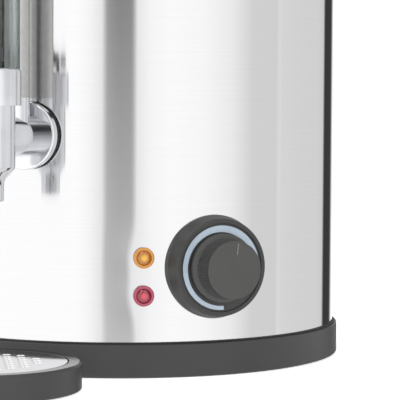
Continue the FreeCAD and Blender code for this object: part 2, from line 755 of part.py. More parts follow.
def thermostat_body():
    half, tall = THERMOSTAT_BODY_HALF_WIDTH, THERMOSTAT_HALF_HEIGHT
    body = joined([
        block(-THERMOSTAT_HALF_WIDTH, THERMOSTAT_HALF_WIDTH, -tall, tall, thermostat_back, thermostat_front),
        block(-half, half, -tall, tall, thermostat_back - THERMOSTAT_DEPTH, thermostat_back),
    ])
    cuts = [rod(SPINDLE_RADIUS + SHAFT_GAP, spindle_end - 0.5, thermostat_front + 1)]
    cuts += [rod(THERMOSTAT_SCREW_RADIUS + TAP_DRILL_GAP, thermostat_back - 1, thermostat_front + 1, x)
             for x in thermostat_screw_places]
    return control(body.cut(cuts))


spindle_end = thermostat_back - SPINDLE_ENTRY
spindle_front = knob_back + SPINDLE_IN_KNOB
spindle_flat = SPINDLE_RADIUS * 0.7


def spindle_form(grow, low, high):
    """The thermostat's D-shaped spindle."""
    radius = SPINDLE_RADIUS + grow
    flat = block(-radius, radius, spindle_flat + grow, radius + 1, knob_back - 1, high + 1)
    return rod(radius, low, high).cut(flat)


def thermostat_spindle():
    return control(spindle_form(0, spindle_end, spindle_front))


def knob_pointer_form(grow, low, high):
    half = POINTER_WIDTH / 2 + grow
    top = KNOB_FACE_RADIUS - 1.2 + grow
    pointer = block(-half, half, top - POINTER_LENGTH - 2 * grow, top, low, high)
    pointer.rotate(ORIGIN, UP, -POINTER_TURN)
    return pointer


def star(z, crest, root):
    """The fluted outline of the knob's grip at one distance from the shell."""
    points = []
    for i in range(KNOB_FLUTES):
        points.append(clock(crest, 360 * i / KNOB_FLUTES, z))
        points.append(clock(root, 360 * (i + 0.5) / KNOB_FLUTES, z))
    return Part.makePolygon(points + points[:1])


def thermostat_knob():
    flange_front = knob_back + KNOB_FLANGE
    flange = turned([
        (0, knob_back), (KNOB_FLANGE_RADIUS, knob_back),
        (KNOB_FLANGE_RADIUS, flange_front, 0.6), (KNOB_GRIP_RADIUS - 1, flange_front + KNOB_SHOULDER),
        (0, flange_front + KNOB_SHOULDER),
    ])
    taper = KNOB_GRIP_RADIUS - KNOB_FACE_RADIUS
    flute = KNOB_GRIP_RADIUS - FLUTE_ROOT
    grip = Part.makeLoft([
        star(flange_front, KNOB_GRIP_RADIUS, FLUTE_ROOT),
        star(knob_front, KNOB_GRIP_RADIUS - taper, FLUTE_ROOT - taper),
    ], True, True)
    face = turned([
        (0, knob_front - 2), (KNOB_GRIP_RADIUS, knob_front - 2),
        (KNOB_FACE_RADIUS, knob_front - 1.0), (KNOB_FACE_RADIUS - flute, knob_front), (0, knob_front),
    ])
    ends = rod(KNOB_FLANGE_RADIUS, flange_front, knob_front - 1.5)
    knob = joined([flange, grip.common(joined([ends, face]))])
    cuts = [
        tube(KNOB_FACE_RADIUS - KNOB_WALL, SPINDLE_RADIUS + KNOB_WALL, knob_back - 1, knob_back + KNOB_CAVITY),
        spindle_form(SEAT_GAP, knob_back - 1, spindle_front + SEAT_GAP),
        knob_pointer_form(SEAT_GAP, knob_front - POINTER_DEPTH, knob_front + 1),
    ]
    return control(knob.cut(cuts))


def knob_pointer():
    return control(knob_pointer_form(0, knob_front - POINTER_DEPTH, knob_front))


# Pilot lamps

lamp_back = BODY_RADIUS + SEAT_GAP


def lamp(shape, height):
    return outward(shape, height, LAMP_AZIMUTH)


def lamp_lens(height):
    """A stepped lens: a rounded rim with a low dome inside it."""
    front = lamp_back + LAMP_PROUD
    rim = front - LAMP_STEP
    return lamp(turned([
        (0, lamp_back), (LAMP_RADIUS, lamp_back), (LAMP_RADIUS, rim, 0.8),
        (LAMP_STEP_RADIUS, rim), (LAMP_STEP_RADIUS, rim - LAMP_STEP),
        (LAMP_STEP_RADIUS * 0.6, front, 2.0), (0, front),
    ]), height)


def lamp_bodies():
    rear = lamp_back - LAMP_BODY_LENGTH
    half = LAMP_TAB_THICKNESS / 2
    tabs = [block(x - half, x + half, -LAMP_TAB_WIDTH / 2, LAMP_TAB_WIDTH / 2, rear - LAMP_TAB, rear)
            for x in (-LAMP_TAB_PLACE, LAMP_TAB_PLACE)]
    body = joined([rod(LAMP_BODY_RADIUS, rear, lamp_back)] + tabs)
    return [lamp(body, AMBER_HEIGHT), lamp(body, RED_HEIGHT)]


def lamp_clips():
    front = inside_seat(LAMP_CLIP_RADIUS)
    clip = tube(LAMP_CLIP_RADIUS, LAMP_BODY_RADIUS + SEAT_GAP, front - LAMP_CLIP_THICKNESS, front)
    return [lamp(clip, AMBER_HEIGHT), lamp(clip, RED_HEIGHT)]


# Tap

def tap_upright(shape):
    """Puts a shape that is modelled round Z on the tap's upright axis."""
    return moved(shape, y=-tap_axis)


def tap_body():
    barrel = tap_upright(turned([
        (0, spout_end), (SPOUT_RADIUS, spout_end, 0.8), (SPOUT_RADIUS, spout_end + 10, 6),
        (BARREL_RADIUS, tap_height - BARREL_BELOW, 4), (BARREL_RADIUS, barrel_top), (0, barrel_top),
    ]))
    neck = outward(joined([
        rod(SHANK_RADIUS, vessel_inner - SHANK_INSIDE, tap_flange_back),
        turned([(0, tap_flange_back), (TAP_FLANGE_RADIUS, tap_flange_back),
                (TAP_FLANGE_RADIUS, tap_flange_front, 1.2), (0, tap_flange_front)]),
        rod(NECK_RADIUS, tap_flange_front, tap_axis),
    ]), tap_height, 0)
    socket = rod(socket_radius, tap_height, gauge_bottom, 0, -gauge_axis)
    socket_floor = gauge_bottom - GAUGE_SOCKET_DEPTH
    cuts = [
        outward(rod(TAP_BORE, vessel_inner - SHANK_INSIDE - 1, tap_axis), tap_height, 0),
        tap_upright(rod(CHAMBER_RADIUS, seat_height, barrel_top + 1)),
        tap_upright(rod(SPOUT_RADIUS - 2.2, spout_end - 1, seat_height)),
        rod(GLASS_RADIUS - GLASS_WALL - 1, tap_height, gauge_bottom, 0, -gauge_axis),
        rod(seal_radius + SEAT_GAP, socket_floor, gauge_bottom + 1, 0, -gauge_axis),
    ]
    return joined([barrel, neck, socket]).cut(cuts)


def tap_seals():
    """Two rubber washers, one against the outside of the shell and one against the vessel's inside."""
    outer = tube(TAP_SEAL_RADIUS, SHANK_RADIUS + SEAT_GAP, shell_inner - 3, tap_flange_back)
    inner = tube(TAP_SEAL_RADIUS, SHANK_RADIUS + SEAT_GAP, tap_inner_face, vessel_radius)
    outer = outer.cut(side_cylinder(BODY_RADIUS + SEAT_GAP))
    inner = inner.common(side_cylinder(vessel_inner - SEAT_GAP))
    return [outward(outer, tap_height, 0), outward(inner, tap_height, 0)]


def tap_sleeve():
    """Holds the shell and the vessel apart round the tap's shank."""
    sleeve = tube(SHANK_RADIUS + 3, SHANK_RADIUS + PASS_GAP, vessel_radius - 5, BODY_RADIUS)
    sleeve = sleeve.common(side_cylinder(shell_inner - SEAT_GAP))
    return outward(sleeve.cut(side_cylinder(vessel_radius + SEAT_GAP)), tap_height, 0)


def tap_back_nut():
    nut = hexagon(TAP_NUT_FLATS, tap_inner_face - TAP_NUT_HEIGHT, tap_inner_face)
    nut = nut.cut(rod(SHANK_RADIUS + TAP_DRILL_GAP, tap_inner_face - TAP_NUT_HEIGHT - 1, tap_inner_face + 1))
    return outward(nut, tap_height, 0)


def cross_bar(radius, length, y):
    """A bar along X at the height of the lever's pin."""
    return Part.makeCylinder(radius, length, V(-length / 2, y, pivot_height), V(1, 0, 0))


def tap_bonnet():
    """A cap that screws down over the barrel, with two ears for the lever's pin."""
    bottom = barrel_top - BONNET_SKIRT
    cap = turned([(0, bottom), (BONNET_RADIUS, bottom), (BONNET_RADIUS, bonnet_top, 1.5), (0, bonnet_top)])
    inner = LEVER_WIDTH / 2 + SLIDE_GAP
    ears = []
    for x in (-inner - EAR_THICKNESS, inner):
        top = Part.makeCylinder(EAR_RADIUS, EAR_THICKNESS, V(x, -PIVOT_REACH, pivot_height), V(1, 0, 0))
        ears.append(top)
        ears.append(block(x, x + EAR_THICKNESS, -PIVOT_REACH - EAR_RADIUS, -PIVOT_REACH + EAR_RADIUS,
                          bonnet_top - 1, pivot_height))
    cap = joined([cap] + ears)
    pin_hole = cross_bar(LEVER_PIN_RADIUS + TAP_DRILL_GAP, 2 * BONNET_RADIUS, -PIVOT_REACH)
    cuts = [
        rod(BARREL_RADIUS + SEAT_GAP, bottom - 1, barrel_top),
        rod(BONNET_BORE, barrel_top - 1, spring_top),
        rod(STEM_RADIUS + SHAFT_GAP, spring_top - 1, bonnet_top + 1),
        pin_hole,
    ]
    return tap_upright(cap.cut(cuts))


cup_top = seat_height + CUP_HEIGHT
spring_seat = cup_top + STEM_COLLAR
spring_top = bonnet_top - BONNET_ROOF


def tap_plunger():
    head_low = lever_top + SLIDE_GAP
    return tap_upright(joined([
        rod(STEM_RADIUS, cup_top - STEM_IN_CUP, stem_top),
        rod(SPRING_RADIUS + 1.5, cup_top, spring_seat),
        turned([(0, head_low), (STEM_HEAD_RADIUS, head_low), (STEM_HEAD_RADIUS, stem_top, 0.8), (0, stem_top)]),
    ]))


def seat_cup():
    cup = turned([(0, seat_height), (CUP_RADIUS, seat_height), (CUP_RADIUS, cup_top, 1.2), (0, cup_top)])
    return tap_upright(cup.cut(rod(STEM_RADIUS, cup_top - STEM_IN_CUP, cup_top + 1)))


def helix_of_arcs(radius, turns, height):
    """A helix from quarter turns, each of two arcs that meet along one direction, and its first heading."""
    climb = height / turns / (2 * math.pi)

    def point(t):
        return V(radius * math.cos(t), radius * math.sin(t), climb * t)

    def heading(t):
        return V(-radius * math.sin(t), radius * math.cos(t), climb).normalize()

    def arc(start, corner, end):
        back, on = (start - corner).normalize(), (end - corner).normalize()
        half = back.getAngle(on) / 2
        bend = (start - corner).Length * math.tan(half)
        middle = corner + (back + on).normalize() * (bend / math.sin(half) - bend)
        return Part.Arc(start, middle, end).toShape()

    edges = []
    for quarter in range(4 * turns):
        a, b = quarter * math.pi / 2, (quarter + 1) * math.pi / 2
        chord, both = point(b) - point(a), heading(a) + heading(b)
        square, linear = 2 * (1 - heading(a).dot(heading(b))), 2 * chord.dot(both)
        reach = (math.sqrt(linear**2 + 4 * square * chord.dot(chord)) - linear) / (2 * square)
        corners = point(a) + heading(a) * reach, point(b) - heading(b) * reach
        middle = (corners[0] + corners[1]) * 0.5
        edges += [arc(point(a), corners[0], middle), arc(middle, corners[1], point(b))]
    return Part.Wire(edges), heading(0)


def tap_spring():
    low = spring_seat + SPRING_WIRE_RADIUS + SEAT_GAP
    high = spring_top - SPRING_WIRE_RADIUS - SEAT_GAP
    path, heading = helix_of_arcs(SPRING_RADIUS, SPRING_TURNS, high - low)
    section = Part.Wire(Part.makeCircle(SPRING_WIRE_RADIUS, V(SPRING_RADIUS, 0, 0), heading))
    return tap_upright(moved(path.makePipeShell([section], True, False), z=low))


def tap_lever():
    """A lever with a fork under the stem's head behind its pin and a paddle in front."""
    half, neck, paddle = LEVER_FORK_WIDTH / 2, LEVER_WIDTH / 2, LEVER_PADDLE_WIDTH / 2
    low, high = pivot_height - LEVER_THICKNESS / 2, lever_top
    lever = plate([
        (-half, LEVER_FORK_REACH), (-half, LEVER_SHOULDER), (-neck, LEVER_SHOULDER),
        (-neck, -LEVER_SHOULDER), (-paddle, -LEVER_SHOULDER - 14, 12), (-paddle, -LEVER_LENGTH, paddle * 0.98),
        (paddle, -LEVER_LENGTH, paddle * 0.98), (paddle, -LEVER_SHOULDER - 14, 12), (neck, -LEVER_SHOULDER),
        (neck, LEVER_SHOULDER), (half, LEVER_SHOULDER), (half, LEVER_FORK_REACH),
    ], low, high)
    slot = STEM_RADIUS + SLIDE_GAP
    slot_end = PIVOT_REACH - LEVER_SLOT_RUN
    cuts = [
        block(-slot, slot, slot_end, LEVER_FORK_REACH + 1, low - 1, high + 1),
        rod(slot, low - 1, high + 1, 0, slot_end),
        cross_bar(LEVER_PIN_RADIUS + SHAFT_GAP, 2 * LEVER_PADDLE_WIDTH, 0),
    ]
    return moved(lever.cut(cuts), y=-pivot_place)


def tap_lever_pin():
    return cross_bar(LEVER_PIN_RADIUS, LEVER_WIDTH + 2 * (SLIDE_GAP + EAR_THICKNESS), -pivot_place)


# Level glass

def gauge_upright(shape):
    return moved(shape, y=-gauge_axis)


glass_low = gauge_bottom - GAUGE_SOCKET_DEPTH + SLIDE_GAP
glass_high = gauge_top + GAUGE_SOCKET_DEPTH - SLIDE_GAP
bracket_top = gauge_top + GAUGE_BRACKET_HEIGHT


def gauge_glass():
    return gauge_upright(tube(GLASS_RADIUS, GLASS_RADIUS - GLASS_WALL, glass_low, glass_high))


def gauge_seals():
    ring = tube(seal_radius, GLASS_RADIUS + SEAT_GAP, 0, GAUGE_SOCKET_DEPTH - 1)
    return [gauge_upright(moved(ring, z=gauge_bottom - GAUGE_SOCKET_DEPTH)),
            gauge_upright(moved(ring, z=gauge_top + 1))]


def gauge_guard():
    guard = tube(socket_radius, socket_radius - GUARD_WALL, gauge_bottom, gauge_top)
    half = math.tan(math.radians(GUARD_OPENING / 2)) * 2 * socket_radius
    slot = plate([(0, 0), (-half, -2 * socket_radius), (half, -2 * socket_radius)],
                 gauge_bottom + GUARD_END, gauge_top - GUARD_END)
    return gauge_upright(guard.cut(slot))


def gauge_bracket():
    arm = block(-GAUGE_ARM_WIDTH / 2, GAUGE_ARM_WIDTH / 2, -gauge_axis, -shell_inner + 2, gauge_top, bracket_top)
    bracket = joined([arm, rod(socket_radius, gauge_top, bracket_top, 0, -gauge_axis)])
    bolt_end = inside_seat(GAUGE_BOLT_HEAD) + GAUGE_BOLT_LENGTH
    shell = rod(BODY_RADIUS + SEAT_GAP, gauge_top - 1, bracket_top + 1)
    cuts = [
        shell,
        rod(seal_radius + SEAT_GAP, gauge_top - 1, gauge_top + GAUGE_SOCKET_DEPTH, 0, -gauge_axis),
        rod(GLASS_RADIUS - GLASS_WALL - 1 + SEAT_GAP, gauge_top, bracket_top + 1, 0, -gauge_axis),
        outward(rod(GAUGE_BOLT_RADIUS + TAP_DRILL_GAP, shell_inner - 2, bolt_end + 0.5), gauge_bolt_height, 0),
    ]
    return bracket.cut(cuts)


def gauge_bolt():
    bolt = turned_over(screw(GAUGE_BOLT_RADIUS, GAUGE_BOLT_LENGTH, GAUGE_BOLT_HEAD, 2.8))
    return outward(moved(bolt, z=inside_seat(GAUGE_BOLT_HEAD)), gauge_bolt_height, 0)


def gauge_cap():
    cap = turned([(0, bracket_top), (socket_radius - 1, bracket_top),
                  (socket_radius - 1, bracket_top + GAUGE_CAP_HEIGHT, 1.5), (0, bracket_top + GAUGE_CAP_HEIGHT)])
    plug = rod(GLASS_RADIUS - GLASS_WALL - 1, bracket_top - 5, bracket_top)
    return gauge_upright(joined([cap, plug]))


# Drip tray

def tray_upright(shape):
    return moved(shape, y=-tray_axis)


def drip_tray():
    well = PLATE_RADIUS + SLIDE_GAP - TRAY_LEDGE
    tray = turned([
        (0, FOOT_PROUD), (TRAY_RADIUS, FOOT_PROUD, RING_EDGE), (TRAY_RADIUS, tray_top - TRAY_CHAMFER),
        (TRAY_RADIUS - TRAY_CHAMFER, tray_top), (PLATE_RADIUS + SLIDE_GAP, tray_top),
        (PLATE_RADIUS + SLIDE_GAP, plate_seat), (well, plate_seat), (well, FOOT_PROUD + TRAY_FLOOR, 2),
        (0, FOOT_PROUD + TRAY_FLOOR),
    ])
    hollow = tube(TRAY_RADIUS - TRAY_SHELL, well + TRAY_SHELL, FOOT_PROUD - 1, plate_seat - TRAY_SHELL)
    pads = [rod(TRAY_PAD_RADIUS + SEAT_GAP, 0, FOOT_PROUD + TRAY_PAD_SEAT, 0, -TRAY_PAD_CIRCLE)]
    tray = tray_upright(tray.cut([hollow] + around(pads[0], 3)))
    tongue = block(-TONGUE_WIDTH / 2, TONGUE_WIDTH / 2, -(tray_axis - TRAY_RADIUS + TRAY_SHELL + 3),
                   -(ring_radius - TONGUE_REACH), tongue_bottom, tongue_bottom + TONGUE_THICKNESS)
    return joined([tray, tongue])


def tray_pads():
    pad = rod(TRAY_PAD_RADIUS, 0, FOOT_PROUD + TRAY_PAD_SEAT, 0, -TRAY_PAD_CIRCLE)
    return [tray_upright(one) for one in around(pad, 3)]


def drip_plate():
    """A disc with a hexagonal pattern of drain holes."""
    disc = rod(PLATE_RADIUS, plate_seat, plate_top)
    row_pitch = PLATE_HOLE_PITCH * math.sqrt(3) / 2
    rows = int(PLATE_HOLES_WITHIN / row_pitch)
    holes = []
    for row in range(-rows, rows + 1):
        shift = PLATE_HOLE_PITCH / 2 * (row % 2)
        columns = int(PLATE_HOLES_WITHIN / PLATE_HOLE_PITCH)
        for column in range(-columns - 1, columns + 1):
            x, y = column * PLATE_HOLE_PITCH + shift, row * row_pitch
            if math.hypot(x, y) <= PLATE_HOLES_WITHIN:
                holes.append(rod(PLATE_HOLE_RADIUS, plate_seat - 1, plate_top + 1, x, y))
    return tray_upright(disc.cut(holes))


# Heater and what hangs under the vessel

def torus_arc(radius, gap):
    """A round bar bent into an open ring, whose gap faces the back."""
    circle = Part.makeCircle(radius, V(ELEMENT_CIRCLE, 0, element_height), V(0, 1, 0))
    ring = Part.Face(Part.Wire(circle)).revolve(ORIGIN, UP, 360 - gap)
    ring.rotate(ORIGIN, UP, 90 + gap / 2)
    return ring


element_height = heater_bottom - ELEMENT_RADIUS / 2
element_foot = element_height - ELEMENT_LEG
element_ends = [V(ELEMENT_CIRCLE * math.cos(math.radians(90 + way * ELEMENT_GAP / 2)),
                  ELEMENT_CIRCLE * math.sin(math.radians(90 + way * ELEMENT_GAP / 2)), 0) for way in (-1, 1)]


def heater_plate():
    disc = rod(HEATER_RADIUS, heater_bottom, VESSEL_FLOOR)
    groove = Part.makeTorus(ELEMENT_CIRCLE, ELEMENT_RADIUS + SEAT_GAP, V(0, 0, element_height))
    holes = [rod(CUTOUT_SCREW_RADIUS + TAP_DRILL_GAP, heater_bottom - 1, heater_bottom + 4.5, x)
             for x in (-CUTOUT_EAR, CUTOUT_EAR)]
    return disc.cut([groove] + holes)


def heating_element():
    bar = torus_arc(ELEMENT_RADIUS, ELEMENT_GAP)
    ends = []
    for end in element_ends:
        ends.append(Part.makeSphere(ELEMENT_RADIUS, V(end.x, end.y, element_height)))
        ends.append(rod(ELEMENT_RADIUS, element_foot, element_height, end.x, end.y))
    return joined([bar] + ends)


def element_pins():
    return [rod(ELEMENT_PIN_RADIUS, element_foot - ELEMENT_PIN, element_foot, end.x, end.y)
            for end in element_ends]


def thermal_cutout():
    low = heater_bottom - CUTOUT_HEIGHT
    ears = plate([(-CUTOUT_EAR - 4, -4, 3.9), (CUTOUT_EAR + 4, -4, 3.9),
                  (CUTOUT_EAR + 4, 4, 3.9), (-CUTOUT_EAR - 4, 4, 3.9)], heater_bottom - 1, heater_bottom)
    holes = [rod(CUTOUT_SCREW_RADIUS + PASS_GAP, low - 1, heater_bottom + 1, x)
             for x in (-CUTOUT_EAR, CUTOUT_EAR)]
    return joined([rod(CUTOUT_RADIUS, low, heater_bottom), ears.cut(holes)])


def cutout_screws():
    one = moved(turned_over(screw(CUTOUT_SCREW_RADIUS, 5.0, 2.6, 1.6)), z=heater_bottom - 1)
    return [moved(one, x=x) for x in (-CUTOUT_EAR, CUTOUT_EAR)]


def bent_rod(radius, points, bend):
    """A round bar through a list of points, with an arc of one radius at each turn."""
    edges = []
    start = points[0]
    for before, here, after in zip(points, points[1:], points[2:]):
        back, on = (before - here).normalize(), (after - here).normalize()
        half = back.getAngle(on) / 2
        reach = bend / math.tan(half)
        middle = here + (back + on).normalize() * (bend / math.sin(half) - bend)
        edges.append(Part.makeLine(start, here + back * reach))
        edges.append(Part.Arc(here + back * reach, middle, here + on * reach).toShape())
        start = here + on * reach
    edges.append(Part.makeLine(start, points[-1]))
    direction = points[1] - points[0]
    section = Part.Wire(Part.makeCircle(radius, points[0], direction))
    return Part.Wire(edges).makePipeShell([section], True, False)


bulb_height = VESSEL_FLOOR - SADDLE_WALL - BULB_RADIUS


def thermostat_bulb():
    """The sensing bulb, clipped under the vessel, with its capillary down to the thermostat."""
    bulb = Part.makeCylinder(BULB_RADIUS, BULB_LENGTH, V(-BULB_LENGTH / 2, 0, BULB_PLACE), V(1, 0, 0))
    above = bulb_height - KNOB_HEIGHT
    bulb = moved(bulb, y=above)
    side, down = BULB_LENGTH / 2 + 12, (above + THERMOSTAT_HALF_HEIGHT) / 2
    into = thermostat_back - THERMOSTAT_DEPTH / 2
    capillary = bent_rod(CAPILLARY_RADIUS, [
        V(BULB_LENGTH / 2 - 1, above, BULB_PLACE), V(side, above, BULB_PLACE),
        V(side, down, BULB_PLACE), V(side - 22, down, into),
        V(4, down, into), V(4, THERMOSTAT_HALF_HEIGHT, into),
    ], 4.0)
    return control(joined([bulb, capillary]))


def bulb_saddles():
    half = BULB_RADIUS + SADDLE_WALL
    above = bulb_height - KNOB_HEIGHT
    saddle = block(-SADDLE_WIDTH / 2, SADDLE_WIDTH / 2, above - half, above + half,
                   BULB_PLACE - half, BULB_PLACE + half)
    bore = Part.makeCylinder(BULB_RADIUS + SEAT_GAP, SADDLE_WIDTH + 2, V(-SADDLE_WIDTH / 2 - 1, above, BULB_PLACE),
                             V(1, 0, 0))
    saddle = saddle.cut(bore)
    return [control(moved(saddle, x=x)) for x in (-SADDLE_PITCH / 2, SADDLE_PITCH / 2)]


# Mains entry

gland_seat = BODY_RADIUS + SEAT_GAP
gland_front = BODY_RADIUS + GLAND_FLANGE
gland_end = gland_front + GLAND_DOME
gland_back = shell_inner - GLAND_INSIDE


def at_gland(shape):
    return outward(shape, GLAND_HEIGHT, 180)


def cable_gland():
    flange = hexagon(GLAND_FLATS, shell_inner - 2, gland_front).cut(side_cylinder(gland_seat))
    gland = joined([
        flange, rod(GLAND_THREAD_RADIUS, gland_back, gland_front),
        turned([(0, gland_front), (GLAND_FLATS / 2 - 1, gland_front), (GLAND_FLATS / 2 - 2, gland_end, 3),
                (0, gland_end)]),
    ])
    return at_gland(gland.cut(rod(GLAND_BORE, gland_back - 1, gland_end + 1)))


def gland_nut():
    front = inside_seat(GLAND_FLATS / math.sqrt(3))
    nut = hexagon(GLAND_FLATS, front - GLAND_NUT_HEIGHT, front)
    return at_gland(nut.cut(rod(GLAND_THREAD_RADIUS + TAP_DRILL_GAP, gland_back, front + 1)))


block_screw_places = [(x, BLOCK_PLACE) for x in (-BLOCK_LENGTH / 2 + 5, BLOCK_LENGTH / 2 - 5)]
block_top = flange_bottom + BLOCK_HEIGHT


def terminal_places():
    return [((i - (BLOCK_WAYS - 1) / 2) * TERMINAL_PITCH, BLOCK_PLACE + side * TERMINAL_ROW)
            for i in range(BLOCK_WAYS) for side in (-1, 1)]


def terminal_block():
    body = block(-BLOCK_LENGTH / 2, BLOCK_LENGTH / 2, BLOCK_PLACE - BLOCK_DEPTH / 2,
                 BLOCK_PLACE + BLOCK_DEPTH / 2, flange_bottom, block_top)
    low = flange_bottom - 1
    steps = [block(x - 5.1, x + 5.1, y - BLOCK_DEPTH, y + BLOCK_DEPTH, flange_bottom + 5, block_top + 1)
             for x, y in block_screw_places]
    cuts = steps + [rod(BLOCK_SCREW_RADIUS + PASS_GAP, low, block_top, x, y) for x, y in block_screw_places]
    cuts += [rod(TERMINAL_RADIUS + SEAT_GAP, block_top - 5, block_top + 1, x, y) for x, y in terminal_places()]
    return body.cut(cuts)


def terminal_screws():
    return [rod(TERMINAL_RADIUS, block_top - 5, block_top - 1, x, y) for x, y in terminal_places()]


def block_screws():
    one = moved(screw(BLOCK_SCREW_RADIUS, 8.0, 3.0, 1.8), z=flange_bottom + 5)
    return [moved(one, x, y) for x, y in block_screw_places]


def wiring():
    """Leads between the terminal block, the thermostat, the element and the two lamps."""
    block_face = BLOCK_PLACE - BLOCK_DEPTH / 2
    side = terminal_places()[-1][0]
    inlet = flange_bottom + BLOCK_HEIGHT / 2
    on_cover = flange_bottom + LEAD_RADIUS + SEAT_GAP
    pin_end = element_foot - ELEMENT_PIN
    right, left = element_ends
    turn = math.radians(KNOB_AZIMUTH)
    out = V(math.sin(turn), -math.cos(turn), 0)
    under = out * (thermostat_back - THERMOSTAT_DEPTH / 2)
    behind = out * (thermostat_back - THERMOSTAT_DEPTH)
    case_bottom = KNOB_HEIGHT - THERMOSTAT_HALF_HEIGHT
    leads = [
        bent_rod(LEAD_RADIUS, [
            V(-side, block_face, inlet), V(-side, block_face - 12, inlet),
            V(left.x, left.y, inlet + 26), V(left.x, left.y, pin_end)], LEAD_BEND),
        bent_rod(LEAD_RADIUS, [
            V(side, block_face, inlet), V(side, block_face - 12, inlet), V(side + 8, block_face - 24, on_cover),
            V(under.x, under.y, on_cover), V(under.x, under.y, case_bottom)], LEAD_BEND),
        bent_rod(LEAD_RADIUS, [
            V(behind.x, behind.y, KNOB_HEIGHT), V(behind.x, behind.y, KNOB_HEIGHT) - out * 12,
            V(right.x, right.y, KNOB_HEIGHT), V(right.x, right.y, pin_end)], LEAD_BEND),
    ]
    tab = lamp_back - LAMP_BODY_LENGTH - LAMP_TAB
    drop = RED_HEIGHT - AMBER_HEIGHT
    for x in (-LAMP_TAB_PLACE, LAMP_TAB_PLACE):
        link = bent_rod(LEAD_RADIUS / 2, [V(x, 0, tab), V(x, 0, tab - 8), V(x, drop, tab - 8), V(x, drop, tab)],
                        LEAD_BEND / 2)
        leads.append(lamp(link, AMBER_HEIGHT))
    return leads


# The nodes

NODES = {
    "base_ring": base_ring,
    "foot_ring": foot_ring,
    "shell_gasket": shell_gasket,
    "base_cover": base_cover,
    "cover_screws": cover_screws,
    "clamp_rods": clamp_rods,
    "rod_nuts": rod_nuts,
    "outer_shell": outer_shell,
    "inner_vessel": inner_vessel,
    "rim_collar": rim_collar,
    "lid": lid,
    "lid_knob": lid_knob,
    "lid_knob_washer": lid_knob_washer,
    "lid_knob_screw": lid_knob_screw,
    "handle_right": lambda: handle(90),
    "handle_left": lambda: handle(-90),
    "handle_screws": handle_screws,
    "control_bezel": control_bezel,
    "scale_inlay": scale_inlay,
    "thermostat_body": thermostat_body,
    "thermostat_screws": thermostat_screws,
    "thermostat_spindle": thermostat_spindle,
    "thermostat_knob": thermostat_knob,
    "knob_pointer": knob_pointer,
    "thermostat_bulb": thermostat_bulb,
    "bulb_saddles": bulb_saddles,
    "amber_lamp_lens": lambda: lamp_lens(AMBER_HEIGHT),
    "red_lamp_lens": lambda: lamp_lens(RED_HEIGHT),
    "lamp_bodies": lamp_bodies,
    "lamp_clips": lamp_clips,
    "tap_body": tap_body,
    "tap_seals": tap_seals,
    "tap_sleeve": tap_sleeve,
    "tap_back_nut": tap_back_nut,
    "tap_bonnet": tap_bonnet,
    "tap_plunger": tap_plunger,
    "seat_cup": seat_cup,
    "tap_spring": tap_spring,
    "tap_lever": tap_lever,
    "tap_lever_pin": tap_lever_pin,
    "gauge_glass": gauge_glass,
    "gauge_seals": gauge_seals,
    "gauge_guard": gauge_guard,
    "gauge_bracket": gauge_bracket,
    "gauge_bolt": gauge_bolt,
    "gauge_cap": gauge_cap,
    "drip_tray": drip_tray,
    "tray_pads": tray_pads,
    "drip_plate": drip_plate,
    "heater_plate": heater_plate,
    "heating_element": heating_element,
    "element_pins": element_pins,
    "thermal_cutout": thermal_cutout,
    "cutout_screws": cutout_screws,
    "cable_gland": cable_gland,
    "gland_nut": gland_nut,
    "terminal_block": terminal_block,
    "block_screws": block_screws,
    "terminal_screws": terminal_screws,
    "wiring": wiring,
}

os.makedirs("parts", exist_ok=True)
for name, make in NODES.items():
    made = make()
    solids = [s for shape in (made if isinstance(made, list) else [made]) for s in shape.Solids]
    node = solids[0] if len(solids) == 1 else Part.makeCompound(solids)
    node.exportStep(f"parts/{name}.step")
    print(name, len(solids), "valid" if node.isValid() else "NOT VALID", round(node.Volume, 1))
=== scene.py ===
# %% [markdown]
# # A hot water urn
# The urn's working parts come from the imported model, and this script gives them their looks.
# Everything is in metres, in the model's own frame: the origin is on the urn's axis, on the table,
# +Z is up and the tap faces -Y.

# %% Load the frame
import json
import math

import bmesh
import bpy
from mathutils import Matrix, Vector


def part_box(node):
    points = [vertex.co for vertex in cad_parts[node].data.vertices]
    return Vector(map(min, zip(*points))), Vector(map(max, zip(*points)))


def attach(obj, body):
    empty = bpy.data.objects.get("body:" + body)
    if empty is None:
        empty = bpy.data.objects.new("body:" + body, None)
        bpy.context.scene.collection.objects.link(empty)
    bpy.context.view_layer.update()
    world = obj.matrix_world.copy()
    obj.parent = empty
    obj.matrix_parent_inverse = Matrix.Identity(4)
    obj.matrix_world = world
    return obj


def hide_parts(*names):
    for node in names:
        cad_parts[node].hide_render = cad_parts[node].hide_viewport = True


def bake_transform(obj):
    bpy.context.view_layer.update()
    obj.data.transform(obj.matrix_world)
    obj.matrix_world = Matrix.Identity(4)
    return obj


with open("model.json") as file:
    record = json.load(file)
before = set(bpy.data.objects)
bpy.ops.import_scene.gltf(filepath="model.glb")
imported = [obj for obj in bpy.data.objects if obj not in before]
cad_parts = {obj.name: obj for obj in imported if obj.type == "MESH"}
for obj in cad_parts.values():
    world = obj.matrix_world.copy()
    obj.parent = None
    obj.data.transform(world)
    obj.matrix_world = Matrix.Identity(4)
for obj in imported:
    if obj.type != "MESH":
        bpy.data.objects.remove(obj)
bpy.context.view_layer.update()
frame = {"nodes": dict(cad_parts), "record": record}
nodes = frame["nodes"]
MM = 0.001


# %% [markdown]
# ## Sizes
# Most sizes are read from the frame's own nodes, so that a piece fits what carries it. An upright
# round piece is described by the box of the node that it stands for.

# %% Read the sizes that several pieces share
def extent(node):
    """Lowest corner, highest corner and middle of a node."""
    low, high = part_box(node)
    return low, high, (low + high) / 2


